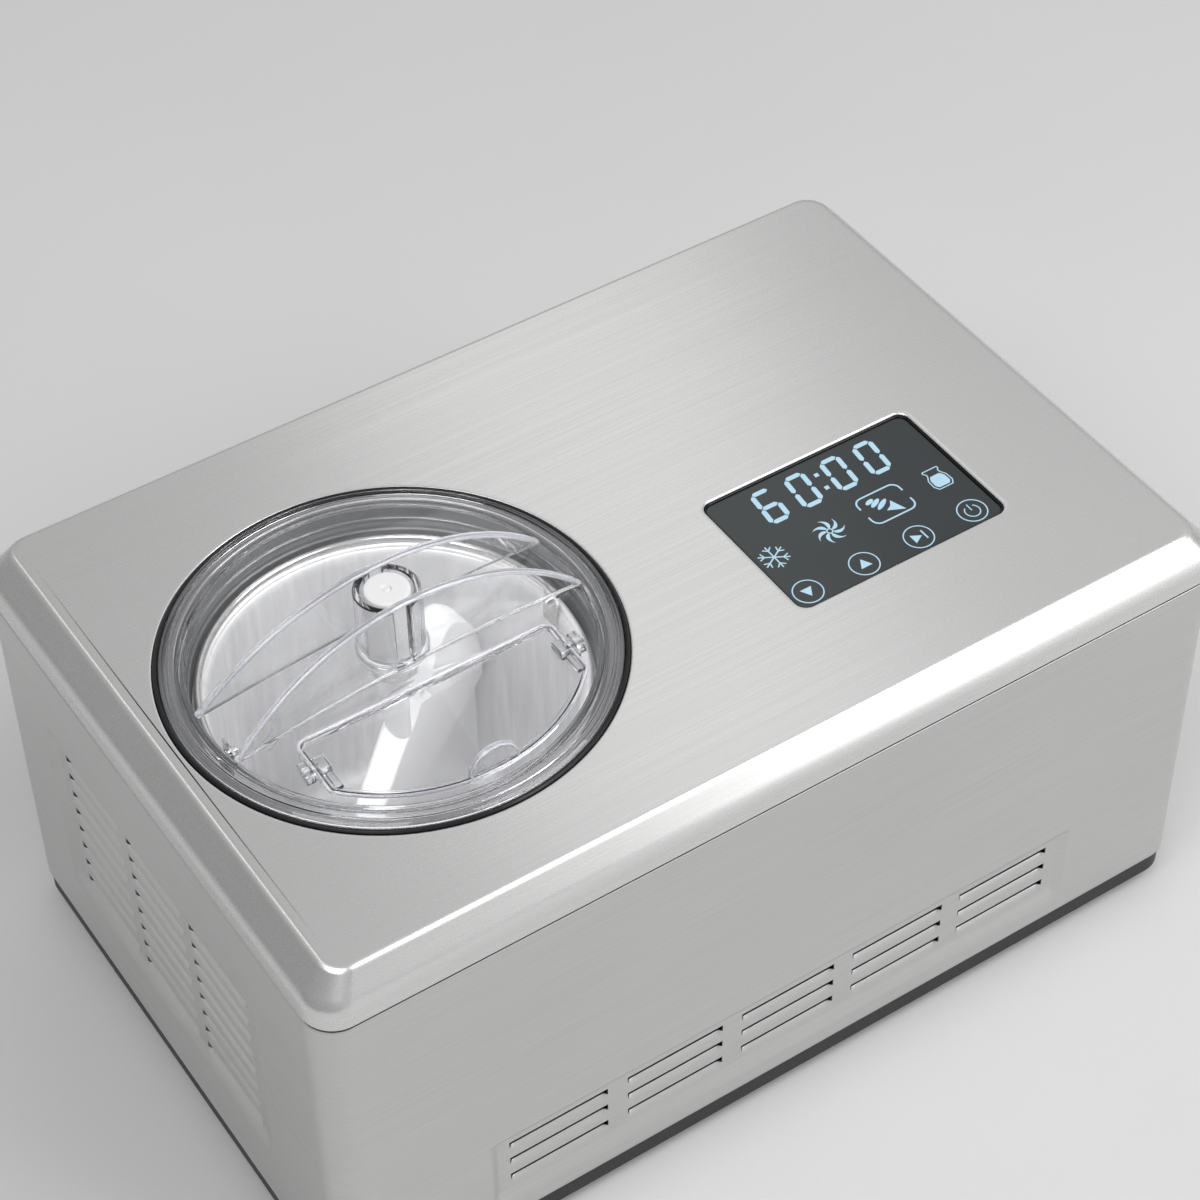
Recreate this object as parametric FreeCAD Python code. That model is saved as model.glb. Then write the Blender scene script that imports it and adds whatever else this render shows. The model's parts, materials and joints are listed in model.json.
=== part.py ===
import FreeCAD, Part
import os
import math
from FreeCAD import Vector as V

# Countertop ice cream maker with a built-in compressor.
# Frame: origin on the surface it stands on, under the centre of the housing. +X right, +Y back, +Z up. Millimetres.

# ---------------------------------------------------------------- driving dimensions
HALF_X = 212.5            # housing half length
HALF_Y = 139.4            # housing half depth
CORNER_R = 14.0           # vertical corner radius
SHEET_T = 0.9             # stainless sheet thickness
FOOT_H = 8.0              # rubber feet
BASE_TOP = 18.0           # top of the plastic base rim
WRAP_Z0, WRAP_Z1 = 18.2, 188.9
COVER_Z0 = 189.3          # lower edge of the top cover
CREASE_Z = 200.7          # lower crease of the chamfer
TOP_Z = 213.0             # top surface
TOP_HX, TOP_HY = 201.7, 131.8
AX, AY = -102.2, -7.1     # bowl axis
LID_HOLE_R = 93.0
WIN_X0, WIN_X1, WIN_Y0, WIN_Y1 = 43.5, 146.4, -78.6, -7.3   # display window
WIN_R = 5.0
BOWL_R_IN, BOWL_T = 73.4, 1.2
BOWL_Z0, BOWL_TOP = 64.0, 197.0
WELL_R_IN, WELL_T = 75.6, 1.5
DOME_R, DOME_Z_EDGE, DOME_Z_TOP = 82.0, 215.0, 219.5
DOME_T = 2.5
LID_TURN = 2.7            # the lid's grip stands at this angle to X, degrees
HUB_R_OUT, HUB_R_IN, HUB_TOP = 14.0, 10.4, 248.0
RIB_TOP = 250.5
HATCH_PIVOT_Y, HATCH_PIVOT_Z = -39.0, 216.6
GEAR_M = 1.5              # gear module
N_OUT, N_SMALL, N_LARGE, N_PINION = 72, 16, 56, 12
IDLER_X = AX + GEAR_M * (N_OUT + N_SMALL) / 2.0
MOTOR_X = IDLER_X + GEAR_M * (N_LARGE + N_PINION) / 2.0
LOUVRE_LEN, LOUVRE_H = 46.7, 1.9
FRONT_ROWS = [64.5, 54.0, 43.2]
FRONT_COLS = [-112.5, -56.25, 0.0, 56.25, 112.2]
SIDE_ROWS = [138.0, 127.2, 116.3, 105.4, 94.5, 83.6, 72.7, 61.8]
SIDE_COLS = [58.2, 5.2, -47.8]

os.makedirs("parts", exist_ok=True)
Z = V(0, 0, 1)


# ---------------------------------------------------------------- helpers
def box(x0, x1, y0, y1, z0, z1):
    return Part.makeBox(x1 - x0, y1 - y0, z1 - z0, V(x0, y0, z0))


def cyl(r, z0, z1, x=0.0, y=0.0):
    return Part.makeCylinder(r, z1 - z0, V(x, y, z0), Z)


def ring(ro, ri, z0, z1, x=0.0, y=0.0):
    return cyl(ro, z0, z1, x, y).cut(cyl(ri, z0 - 1, z1 + 1, x, y))


def rcyl(r, p, d, h):
    return Part.makeCylinder(r, h, V(*p), V(*d))


def rrect(hx, hy, r, z, cx=0.0, cy=0.0):
    r = min(r, hx - 0.01, hy - 0.01)
    e = []
    c = [(hx - r, hy - r, 0), (-hx + r, hy - r, 90), (-hx + r, -hy + r, 180), (hx - r, -hy + r, 270)]
    pts = []
    for (x, y, a) in c:
        p = [V(cx + x + r * math.cos(math.radians(a + t)), cy + y + r * math.sin(math.radians(a + t)), z) for t in (0, 45, 90)]
        pts.append(p)
    for i in range(4):
        e.append(Part.Arc(*pts[i]).toShape())
        e.append(Part.LineSegment(pts[i][2], pts[(i + 1) % 4][0]).toShape())
    return Part.Wire(e)


def prism(hx, hy, r, z0, z1, cx=0.0, cy=0.0):
    return Part.Face(rrect(hx, hy, r, z0, cx, cy)).extrude(V(0, 0, z1 - z0))


def poly(pts):
    return Part.Face(Part.makePolygon([V(*p) for p in pts] + [V(*pts[0])]))


def revolve(pts, x=0.0, y=0.0):
    f = poly([(x + r, y, z) for (r, z) in pts])
    return f.revolve(V(x, y, 0), Z, 360)


def fuse(a, *rest):
    for b in rest:
        a = a.fuse(b)
    return a


def tidy(s):
    if s.ShapeType == "Compound" and len(s.Solids) == 1:
        return s.Solids[0]
    return s


SAVED = []


def save(shape, name):
    shape = tidy(shape)
    ok = all(s.isValid() for s in shape.Solids) and len(shape.Solids) > 0
    SAVED.append((name, len(shape.Solids), shape.Volume, ok))
    shape.exportStep("parts/%s.step" % name)


def rot(shape, deg, x=AX, y=AY):
    s = shape.copy()
    s.rotate(V(x, y, 0), Z, deg)
    return s


def frustum_rect(face, u0, u1, w0, w1, depth, slope, at):
    """A shallow tapered recess: rectangle u0..u1, w0..w1 on a wall, depth inward, sides sloping by slope.
    face is 'front', 'left' or 'right'; at is the wall's coordinate."""
    def wire(d, s, sign):
        a, b, c, e = u0 + s, u1 - s, w0 + s, w1 - s
        if face == "front":
            pts = [(a, at + d, c), (b, at + d, c), (b, at + d, e), (a, at + d, e)]
        elif face == "left":
            pts = [(at + d, a, c), (at + d, b, c), (at + d, b, e), (at + d, a, e)]
        else:
            pts = [(at - d, a, c), (at - d, b, c), (at - d, b, e), (at - d, a, e)]
        return Part.makePolygon([V(*p) for p in pts] + [V(*pts[0])])
    k = slope / depth
    return Part.makeLoft([wire(-1.0, -k, 1), wire(depth, slope, 1)], True, True)


# ---------------------------------------------------------------- base, feet and housing shells
base = prism(HALF_X - 1.2, HALF_Y - 1.2, CORNER_R - 1, FOOT_H, BASE_TOP)
base = base.cut(prism(HALF_X - 4.2, HALF_Y - 4.2, CORNER_R - 4, FOOT_H + 3.0, BASE_TOP + 1))
# inner spigot that the wrap slides over
spigot = prism(HALF_X - 2.2, HALF_Y - 2.2, CORNER_R - 2.2, FOOT_H + 2.0, 26.0).cut(
    prism(HALF_X - 4.2, HALF_Y - 4.2, CORNER_R - 4, FOOT_H + 1.0, 27.0))
base = base.fuse(spigot)
for gx in range(-5, 6):
    base = base.cut(box(60 + gx * 10 - 2.5, 60 + gx * 10 + 2.5, 30, 100, FOOT_H - 1, FOOT_H + 4))
save(base.removeSplitter(), "base_tray")

feet = None
for sx in (-1, 1):
    for sy in (-1, 1):
        x, y = sx * 180.0, sy * 110.0
        f = Part.makeCone(10.0, 11.5, 6.5, V(x, y, 0), Z).fuse(cyl(12.0, 6.5, FOOT_H, x, y))
        f = f.cut(cyl(3.0, 3.0, FOOT_H + 1, x, y)).removeSplitter()
        feet = f if feet is None else feet.fuse(f)
save(feet, "feet")

fs = None
for sx in (-1, 1):
    for sy in (-1, 1):
        x, y = sx * 180.0, sy * 110.0
        s = cyl(2.9, 3.05, 5.2, x, y).fuse(cyl(1.5, 5.2, 7.9, x, y))
        fs = s if fs is None else fs.fuse(s)
save(fs, "foot_screws")

outer = prism(HALF_X, HALF_Y, CORNER_R, WRAP_Z0, WRAP_Z1)
inner = prism(HALF_X - SHEET_T, HALF_Y - SHEET_T, CORNER_R - SHEET_T, WRAP_Z0 - 1, WRAP_Z1 + 1)
RD, RS = 2.4, 5.0
panels = [("front", -146.5, 146.5, 26.0, 71.5, -HALF_Y), ("left", -83.0, 94.5, 49.0, 147.0, -HALF_X), ("right", -83.0, 94.5, 49.0, 147.0, HALF_X)]
for (f, a, b, c, d, at) in panels:
    outer = outer.cut(frustum_rect(f, a, b, c, d, RD, RS, at))
    t = SHEET_T if f != "right" else -SHEET_T
    inner = inner.cut(frustum_rect(f, a - 0.5, b + 0.5, c - 0.5, d + 0.5, RD + SHEET_T, RS, at))
wrap = outer.cut(inner)
slots = []
for z in FRONT_ROWS:
    for x in FRONT_COLS:
        slots.append(box(x - LOUVRE_LEN / 2, x + LOUVRE_LEN / 2, -HALF_Y - 1, -HALF_Y + 6, z - LOUVRE_H, z))
for z in SIDE_ROWS:
    for y in SIDE_COLS:
        slots.append(box(-HALF_X - 1, -HALF_X + 6, y - LOUVRE_LEN / 2, y + LOUVRE_LEN / 2, z - LOUVRE_H, z))
        slots.append(box(HALF_X - 6, HALF_X + 1, y - LOUVRE_LEN / 2, y + LOUVRE_LEN / 2, z - LOUVRE_H, z))
wrap = wrap.cut(Part.makeCompound(slots))
REAR_HX, REAR_Z0, REAR_Z1 = 190.0, 34.0, 176.0
wrap = wrap.cut(box(-REAR_HX, REAR_HX, HALF_Y - 5, HALF_Y + 1, REAR_Z0, REAR_Z1))
save(wrap, "body_wrap")

# rear panel sits behind the wrap's rear opening
RP_Y1 = HALF_Y - SHEET_T - 0.05
RP_Y0 = RP_Y1 - 2.0
GLAND_X, GLAND_Z = 150.0, 52.0
rear = box(-REAR_HX - 8, REAR_HX + 8, RP_Y0, RP_Y1, REAR_Z0 - 8, REAR_Z1 + 8)
cuts = []
for i in range(14):
    for zc in (70.0, 100.0, 130.0):
        cuts.append(box(-150 + i * 12 - 2.0, -150 + i * 12 + 2.0, RP_Y0 - 1, RP_Y1 + 1, zc - 10, zc + 10))
for i in range(9):
    for zc in (85.0, 115.0, 145.0):
        cuts.append(box(70 + i * 12 - 2.0, 70 + i * 12 + 2.0, RP_Y0 - 1, RP_Y1 + 1, zc - 10, zc + 10))
cuts.append(rcyl(8.1, (GLAND_X, RP_Y0 - 1, GLAND_Z), (0, 1, 0), 6))
RS_PTS = [(-182, 42), (0, 42), (182, 42), (-182, 168), (0, 168), (182, 168)]
for (x, z) in RS_PTS:
    cuts.append(rcyl(1.8, (x, RP_Y0 - 1, z), (0, 1, 0), 6))
rear = rear.cut(Part.makeCompound(cuts))
save(rear, "rear_panel")
sc = None
for (x, z) in RS_PTS:
    s = rcyl(1.5, (x, RP_Y1 - 9.0, z), (0, 1, 0), 9.5).fuse(rcyl(3.0, (x, RP_Y1 + 0.02, z), (0, 1, 0), 0.83)).removeSplitter()
    sc = s if sc is None else sc.fuse(s)
save(sc, "rear_screws")

# cable gland: flanged insulating bush clamped in the rear panel, open bore for a supply cord
gl = rcyl(10.5, (GLAND_X, RP_Y1 + 0.02, GLAND_Z), (0, 1, 0), 0.9).fuse(rcyl(8.0, (GLAND_X, RP_Y1 - 12.0, GLAND_Z), (0, 1, 0), 12.5))
gl = gl.cut(rcyl(3.6, (GLAND_X, RP_Y1 - 13.0, GLAND_Z), (0, 1, 0), 20))
save(gl.removeSplitter(), "cable_gland")
nut = rcyl(11.0, (GLAND_X, RP_Y0 - 4.0, GLAND_Z), (0, 1, 0), 3.9).cut(rcyl(8.05, (GLAND_X, RP_Y0 - 5.0, GLAND_Z), (0, 1, 0), 8))
save(nut, "gland_nut")


# top cover: pressed sheet with a chamfered border, a round lid opening and a display window
def cover_solid(off, z0, ztop):
    low = prism(HALF_X - off, HALF_Y - off, CORNER_R - off, z0, CREASE_Z)
    up = Part.makeLoft([rrect(HALF_X - off, HALF_Y - off, CORNER_R - off, CREASE_Z), rrect(TOP_HX - off, TOP_HY - off, 9.0, ztop)], True, True)
    return low.fuse(up).removeSplitter()


cover = cover_solid(0.0, COVER_Z0, TOP_Z).cut(cover_solid(SHEET_T, COVER_Z0 - 1, TOP_Z - SHEET_T))
cover = cover.fuse(ring(LID_HOLE_R + SHEET_T, LID_HOLE_R, TOP_Z - 4.0, TOP_Z - 0.1, AX, AY))
cover = cover.cut(cyl(LID_HOLE_R, TOP_Z - 10, TOP_Z + 1, AX, AY))
WX, WY = (WIN_X0 + WIN_X1) / 2, (WIN_Y0 + WIN_Y1) / 2
WHX, WHY = (WIN_X1 - WIN_X0) / 2, (WIN_Y1 - WIN_Y0) / 2
cover = cover.cut(prism(WHX, WHY, WIN_R, TOP_Z - 6, TOP_Z + 1, WX, WY))
save(cover.removeSplitter(), "top_cover")

# display
bez = prism(WHX - 0.15, WHY - 0.15, WIN_R - 0.15, 207.0, 212.7, WX, WY).cut(prism(WHX - 2.0, WHY - 2.0, WIN_R - 1.5, 206, 214, WX, WY))
bez = bez.fuse(prism(WHX + 3.0, WHY + 3.0, WIN_R + 2, 207.0, 209.0, WX, WY).cut(prism(WHX - 4.0, WHY - 4.0, WIN_R - 3, 206, 214, WX, WY)))
save(bez.removeSplitter(), "display_bezel")
save(prism(WHX - 2.2, WHY - 2.2, WIN_R - 1.7, 209.2, 211.9, WX, WY), "display_glass")
brd = prism(WHX - 8, WHY - 8, 2, 199.0, 200.6, WX, WY)
for (x, y, hx, hy, h) in [(WX, WY + 12, 30, 9, 6.5), (WX - 30, WY - 16, 8, 5, 3), (WX + 5, WY - 18, 6, 6, 2.5), (WX + 30, WY - 16, 9, 4, 5)]:
    brd = brd.fuse(box(x - hx, x + hx, y - hy, y + hy, 200.6, 200.6 + h))
save(brd, "control_board")
cl = None
for sx in (-1, 1):
    for sy in (-1, 1):
        x, y = WX + sx * (WHX + 0.5), WY + sy * (WHY - 12)
        c = box(x - 2, x + 2, y - 4, y + 4, 198.0, 206.8)
        c = c.fuse(box(min(x, WX + sx * (WHX - 9.5)), max(x, WX + sx * (WHX - 9.5)), y - 4, y + 4, 196.6, 198.7))
        cl = c if cl is None else cl.fuse(c)
save(cl, "board_clips")

# ---------------------------------------------------------------- bowl well
save(revolve([(90.95, 208.5), (92.9, 208.5), (92.9, 213.4), (92.5, 213.9), (91.4, 213.9), (90.95, 213.5)], AX, AY), "well_trim_ring")
collar = revolve([(79.8, 190.0), (82.4, 190.0), (82.4, 201.5), (86.5, 206.5), (90.7, 206.5), (90.7, 211.9), (89.9, 211.9), (89.9, 209.8), (84.2, 209.8), (84.2, 205.0), (80.4, 202.6), (79.8, 202.0)], AX, AY)
save(collar, "well_collar")
WELL_Z0 = 60.5
well = revolve([(9.2, WELL_Z0), (WELL_R_IN - 4, WELL_Z0), (WELL_R_IN + WELL_T, WELL_Z0 + 5.5), (WELL_R_IN + WELL_T, 191.2), (79.4, 191.2), (79.4, 192.9),
                (WELL_R_IN, 192.9), (WELL_R_IN, WELL_Z0 + 6.1), (WELL_R_IN - 4.6, WELL_Z0 + WELL_T), (9.2, WELL_Z0 + WELL_T)], AX, AY)
save(well, "evaporator_well")

# evaporator: aluminium tube wound round the well, one closed turn per level, joined by short risers
COIL_R, TUBE_R, N_TURNS, COIL_P = 80.4, 3.0, 9, 12.0
coil = None
for i in range(N_TURNS):
    z = 78.0 + i * COIL_P
    t = Part.makeTorus(COIL_R, TUBE_R, V(AX, AY, z), Z)
    coil = t if coil is None else coil.fuse(t)
    if i:
        a = math.radians(-10 if i % 2 else 10)
        coil = coil.fuse(cyl(2.0, z - COIL_P, z, AX + COIL_R * math.cos(a), AY + COIL_R * math.sin(a)))
save(coil.removeSplitter(), "evaporator_coil")

foam = ring(95.0, 84.0, 66.0, 188.0, AX, AY).fuse(ring(95.0, 12.0, 50.0, 59.9, AX, AY)).fuse(ring(95.0, 84.0, 59.0, 67.0, AX, AY))
foam = foam.cut(rcyl(2.4, (AX + 80, AY, 110), (1, 0, 0), 20)).cut(rcyl(4.0, (AX + 80, AY, 74), (1, 0, 0), 20)).cut(rcyl(4.0, (AX + 80, AY, 178), (1, 0, 0), 20))
save(foam.removeSplitter(), "insulation_foam")
save(rcyl(2.2, (AX + 84.0, AY, 110.0), (1, 0, 0), 18.0).fuse(box(AX + 96, AX + 102, AY - 5, AY + 5, 105, 115)), "bowl_temperature_sensor")

# ---------------------------------------------------------------- removable bowl, bail and paddle
bowl = revolve([(6.2, BOWL_Z0), (64.0, BOWL_Z0), (70.5, BOWL_Z0 + 2.6), (74.6, BOWL_Z0 + 9.0), (BOWL_R_IN + BOWL_T, 192.6), (BOWL_R_IN + BOWL_T + 0.6, 193.4), (77.2, 193.4), (78.3, 194.5), (78.3, 195.9), (77.2, BOWL_TOP),
                (74.9, BOWL_TOP), (73.7, 196.2), (BOWL_R_IN, 195.2), (BOWL_R_IN, BOWL_Z0 + 9.4), (69.8, BOWL_Z0 + 3.9), (63.6, BOWL_Z0 + BOWL_T), (7.6, BOWL_Z0 + BOWL_T), (7.6, 90.0), (6.2, 90.0)], AX, AY)
save(bowl, "bowl")
BAIL_R, BAIL_Z, BAIL_W = 76.7, 198.9, 1.6
ears = None
for s in (-1, 1):
    e = box(AX + s * 73.1 - 0.6, AX + s * 73.1 + 0.6, AY - 5.0, AY + 5.0, 197.1, 202.4)
    e = e.fuse(box(AX + s * 73.1 - 0.6, AX + s * 73.1 + 0.6, AY - 5.0, AY + 5.0, 186.0, 197.2))
    e = e.cut(rcyl(BAIL_W + 0.05, (AX + s * 73.1 - 3, AY, BAIL_Z), (1, 0, 0), 6))
    # the ear's lower half lies inside the wall's line
    keep = cyl(BOWL_R_IN - 0.05, 180, 210, AX, AY)
    e = e.common(keep.fuse(box(AX - 80, AX + 80, AY - 6, AY + 6, BOWL_TOP + 0.0, 210)))
    ears = e if ears is None else ears.fuse(e)
save(ears, "bail_ears")
# half ring of wire lying on the rim, its two ends turned in through the ears
BAIL_IN, BAIL_BEND = 70.3, 3.2
def arcw(p, q, r):
    return Part.Arc(V(*p), V(*q), V(*r)).toShape()
bail = None
mr = BAIL_R
# path: pin in through the ear, a tight bend, then the half ring over the back
k = BAIL_BEND
a0 = math.asin(k / (mr - k))
cyk = AY + k
ccx = math.sqrt((mr - k) ** 2 - k ** 2)
path = []
for sgn in (1, -1):
    tx, ty = ccx * mr / (mr - k), k * mr / (mr - k)
    m_a = (-90 + math.degrees(math.atan2(k, ccx))) / 2.0
    mx, my = ccx + k * math.cos(math.radians(m_a)), k + k * math.sin(math.radians(m_a))
    path.append([(AX + sgn * BAIL_IN, AY, BAIL_Z), (AX + sgn * ccx, AY, BAIL_Z), (AX + sgn * mx, AY + my, BAIL_Z), (AX + sgn * tx, AY + ty, BAIL_Z)])
R_, L_ = path
wire = Part.Wire([Part.LineSegment(V(*R_[0]), V(*R_[1])).toShape(), arcw(R_[1], R_[2], R_[3]), arcw(R_[3], (AX, AY + mr, BAIL_Z), L_[3]), arcw(L_[3], L_[2], L_[1]), Part.LineSegment(V(*L_[1]), V(*L_[0])).toShape()])
bail = wire.makePipeShell([Part.Wire([Part.makeCircle(BAIL_W, V(*R_[0]), V(1, 0, 0))])], True, False)
save(bail, "bail_handle")

VANE_A, VANE_W = 35.5, 5.4
# one blade right across the bowl: a thick upper rail whose top leans forward, arched at the back and falling to the front
rail = [(71.0, 146.0, 143.0, 129.0), (69.6, 158.0, 152.0, 129.0), (66.0, 170.0, 162.0, 129.0), (60.0, 181.0, 172.0, 129.0), (52.0, 190.5, 181.5, 129.0), (45.0, 197.0, 187.5, 129.0),
        (38.0, 201.5, 189.0, 129.0), (30.0, 203.5, 187.0, 129.0), (22.0, 199.0, 180.5, 129.0), (13.0, 188.0, 172.5, 129.0), (5.0, 179.0, 168.0, 129.0), (-5.0, 174.0, 164.5, 129.0),
        (-14.0, 168.5, 160.0, 128.0), (-28.0, 160.5, 152.0, 124.0), (-45.0, 150.0, 142.0, 116.0), (-60.0, 139.5, 132.5, 108.0), (-70.0, 131.0, 125.0, 100.0)]
def rail_sec(r, zb, zf, z0):
    p = [V(AX + r, AY + VANE_W, zb), V(AX + r, AY - VANE_W, zf), V(AX + r, AY - VANE_W, z0), V(AX + r, AY + VANE_W, z0)]
    return Part.makePolygon(p + [p[0]])
blade_a = Part.makeLoft([rail_sec(*q) for q in rail], True, True)
# the thin web below it, down to the floor of the bowl
web = [(71.2, 140.0), (71.2, 76.0), (68.0, 69.5), (62.0, 67.5), (-62.0, 67.5), (-68.0, 69.5), (-70.6, 76.0), (-70.6, 112.0), (-45.0, 130.0), (0.0, 140.0)]
fin_b = poly([(AX + r, AY - 1.6, z) for (r, z) in web]).extrude(V(0, 3.2, 0))
blade_a = rot(blade_a, VANE_A)
fin_b = rot(fin_b, VANE_A)
stem = cyl(5.4, 150.0, 207.0, AX, AY)
lower_hub = cyl(14.5, 67.5, 92.0, AX, AY).fuse(Part.makeCone(14.5, 6.0, 14.0, V(AX, AY, 92.0), Z))
journal = revolve([(0, 205.0), (9.3, 205.0), (9.3, 247.2), (8.5, HUB_TOP), (1.3, HUB_TOP), (0.9, 247.2), (0, 247.2)], AX, AY)
cup = revolve([(0, 205.0), (7.0, 205.0), (9.6, 207.4), (11.6, 212.0), (12.3, 217.8), (11.2, 217.8), (10.4, 212.6), (9.0, 210.0), (0, 210.0)], AX, AY)
paddle = fuse(blade_a, fin_b, stem, lower_hub, journal, cup)
# socket over the bowl's centre tube and the hexagonal drive
HEX_R = 5.6
def hexa(r, z0, z1):
    p = [V(AX + r * math.cos(math.radians(60 * k)), AY + r * math.sin(math.radians(60 * k)), z0) for k in range(6)]
    return Part.Face(Part.makePolygon(p + [p[0]])).extrude(V(0, 0, z1 - z0))
paddle = paddle.cut(cyl(8.4, 60.0, 92.5, AX, AY)).cut(hexa(HEX_R + 0.35, 90.0, 103.5))
save(paddle, "paddle")

# ---------------------------------------------------------------- clear lid with its hatch
def arc3(p, q, r):
    return Part.Arc(V(*p), V(*q), V(*r)).toShape()
def seg(p, q):
    return Part.LineSegment(V(*p), V(*q)).toShape()
def dome_z(r):
    return DOME_Z_TOP - (DOME_Z_TOP - DOME_Z_EDGE) * (r / DOME_R) ** 2
o = (AX, AY)
def P(r, z):
    return (AX + r, AY, z)
edges = [seg(P(0, DOME_Z_TOP - DOME_T), P(0, DOME_Z_TOP)), arc3(P(0, DOME_Z_TOP), P(41, dome_z(41)), P(DOME_R, DOME_Z_EDGE)),
         seg(P(DOME_R, DOME_Z_EDGE), P(83.2, DOME_Z_EDGE)), seg(P(83.2, DOME_Z_EDGE), P(83.2, 214.2)), seg(P(83.2, 214.2), P(87.0, 214.2)), seg(P(87.0, 214.2), P(87.0, 215.2)),
         seg(P(87.0, 215.2), P(89.6, 215.2)), seg(P(89.6, 215.2), P(90.6, 214.4)), seg(P(90.6, 214.4), P(90.6, 212.4)), seg(P(90.6, 212.4), P(82.8, 212.4)),
         seg(P(82.8, 212.4), P(82.6, 205.7)), seg(P(82.6, 205.7), P(80.6, 205.7)), seg(P(80.6, 205.7), P(80.6, dome_z(80.6) - DOME_T)),
         arc3(P(80.6, dome_z(80.6) - DOME_T), P(40, dome_z(40) - DOME_T), P(0, DOME_Z_TOP - DOME_T))]
lid = Part.Face(Part.Wire(edges)).revolve(V(AX, AY, 0), Z, 360)

# D-shaped filling hatch
def hatch_plan(off, z0, z1):
    c = cyl(76.5 - off, z0, z1, AX, AY)
    b = box(AX - 56.5 + off, AX + 56.5 - off, AY - 90, AY - 25.5 - off, z0, z1)
    return c.common(b)
dome_cut = Part.Face(Part.Wire([seg(P(0, 200), P(0, DOME_Z_TOP - DOME_T)), arc3(P(0, DOME_Z_TOP - DOME_T), P(40, dome_z(40) - DOME_T), P(82, DOME_Z_EDGE - DOME_T)), seg(P(82, DOME_Z_EDGE - DOME_T), P(82, 200)), seg(P(82, 200), P(0, 200))])).revolve(V(AX, AY, 0), Z, 360)
dome_full = Part.Face(Part.Wire([seg(P(0, 200), P(0, DOME_Z_TOP)), arc3(P(0, DOME_Z_TOP), P(41, dome_z(41)), P(82, DOME_Z_EDGE)), seg(P(82, DOME_Z_EDGE), P(82, 200)), seg(P(82, 200), P(0, 200))])).revolve(V(AX, AY, 0), Z, 360)
shell = dome_full.cut(dome_cut)
lid = lid.cut(hatch_plan(0.0, 200, 230))
# hub: two C-shaped posts round the paddle's journal
hub = cyl(HUB_R_OUT, DOME_Z_TOP - DOME_T, HUB_TOP, AX, AY)
bore = cyl(HUB_R_IN, 200, 260, AX, AY).fuse(cyl(12.8, 200, 222.0, AX, AY))
slot = rot(box(AX - 3.3, AX + 3.3, AY - 20, AY + 20, 221.5, 260), -9.0)
# grip ribs: two arched panels leaning in to the hub
def rib(s):
    pts = [(-80.0, 213.6), (0.0, 217.9), (80.0, 213.6)]
    w = Part.Wire([arc3((AX - 80, AY, 213.6), (AX, AY, 217.9), (AX + 80, AY, 213.6)), seg((AX + 80, AY, 213.6), (AX + 80, AY, 215.8)),
                   arc3((AX + 80, AY, 215.8), (AX, AY, RIB_TOP), (AX - 80, AY, 215.8)), seg((AX - 80, AY, 215.8), (AX - 80, AY, 213.6))])
    r = Part.Face(w).extrude(V(0, 2.6, 0))
    r.translate(V(0, -1.3, 0))
    r.rotate(V(AX, AY, 217.0), V(1, 0, 0), s * 4.6)
    r.translate(V(0, s * 14.2, 0))
    return r
grip = rot(rib(1).fuse(rib(-1)), LID_TURN)
lid = lid.fuse(hub).fuse(grip)
lid = lid.cut(bore).cut(slot)
# hinge sockets beside the hatch
kn = None
for s in (-1, 1):
    k = box(AX + s * 60.0 - 2.2, AX + s * 60.0 + 2.2, AY + HATCH_PIVOT_Y - 4.5, AY + HATCH_PIVOT_Y + 4.5, 213.6, 219.4)
    kn = k if kn is None else kn.fuse(k)
lid = lid.fuse(kn)
lid = lid.cut(rcyl(1.55, (AX - 63.5, AY + HATCH_PIVOT_Y, HATCH_PIVOT_Z), (1, 0, 0), 127.0))
save(lid.removeSplitter(), "lid")

hatch = shell.common(hatch_plan(0.6, 200, 230))
for s in (-1, 1):
    hatch = hatch.fuse(box(AX + s * 53.2 - 2.6, AX + s * 53.2 + 2.6, AY + HATCH_PIVOT_Y - 4.0, AY + HATCH_PIVOT_Y + 4.0, 213.5, 219.2))
    hatch = hatch.fuse(rcyl(1.5, (AX + s * 53.0, AY + HATCH_PIVOT_Y, HATCH_PIVOT_Z), (s, 0, 0), 9.0))
# half-round thumb tab standing on the hatch's rim
TAB_A = math.radians(-90.5)
tab = Part.makeCylinder(11.0, 2.2, V(0, 0, 0), V(0, 1, 0)).common(box(-12, 12, -1, 4, 0, 12)).fuse(box(-11, 11, 0, 2.2, -2.6, 0.2))
tab.translate(V(AX + 0.5, AY - 75.4, 215.3))
hatch = hatch.fuse(tab)
save(hatch.removeSplitter(), "hatch")

save(revolve([(85.0, 210.1), (89.4, 210.1), (89.4, 212.1), (85.0, 212.1)], AX, AY), "lid_seal")

# ---------------------------------------------------------------- gearbox and drive
def gear(n, z0, z1, phase, x, y, bore_r, thick=0.208, add=0.85):
    m = GEAR_M
    rp, ra, rf = m * n / 2.0, m * n / 2.0 + add * m, m * n / 2.0 - 1.15 * m
    wp = thick * math.pi * m
    t20 = math.tan(math.radians(20))
    hw_f, hw_a = wp + t20 * 1.15 * m, wp - t20 * add * m
    pts = []
    for k in range(n):
        c = math.radians(phase) + 2 * math.pi * k / n
        for (r, h) in ((rf, -hw_f), (ra, -hw_a), (ra, hw_a), (rf, hw_f)):
            a = c + math.asin(h / r)
            pts.append(V(x + r * math.cos(a), y + r * math.sin(a), z0))
    g = Part.Face(Part.makePolygon(pts + [pts[0]])).extrude(V(0, 0, z1 - z0))
    return g.cut(cyl(bore_r, z0 - 1, z1 + 1, x, y))

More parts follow.
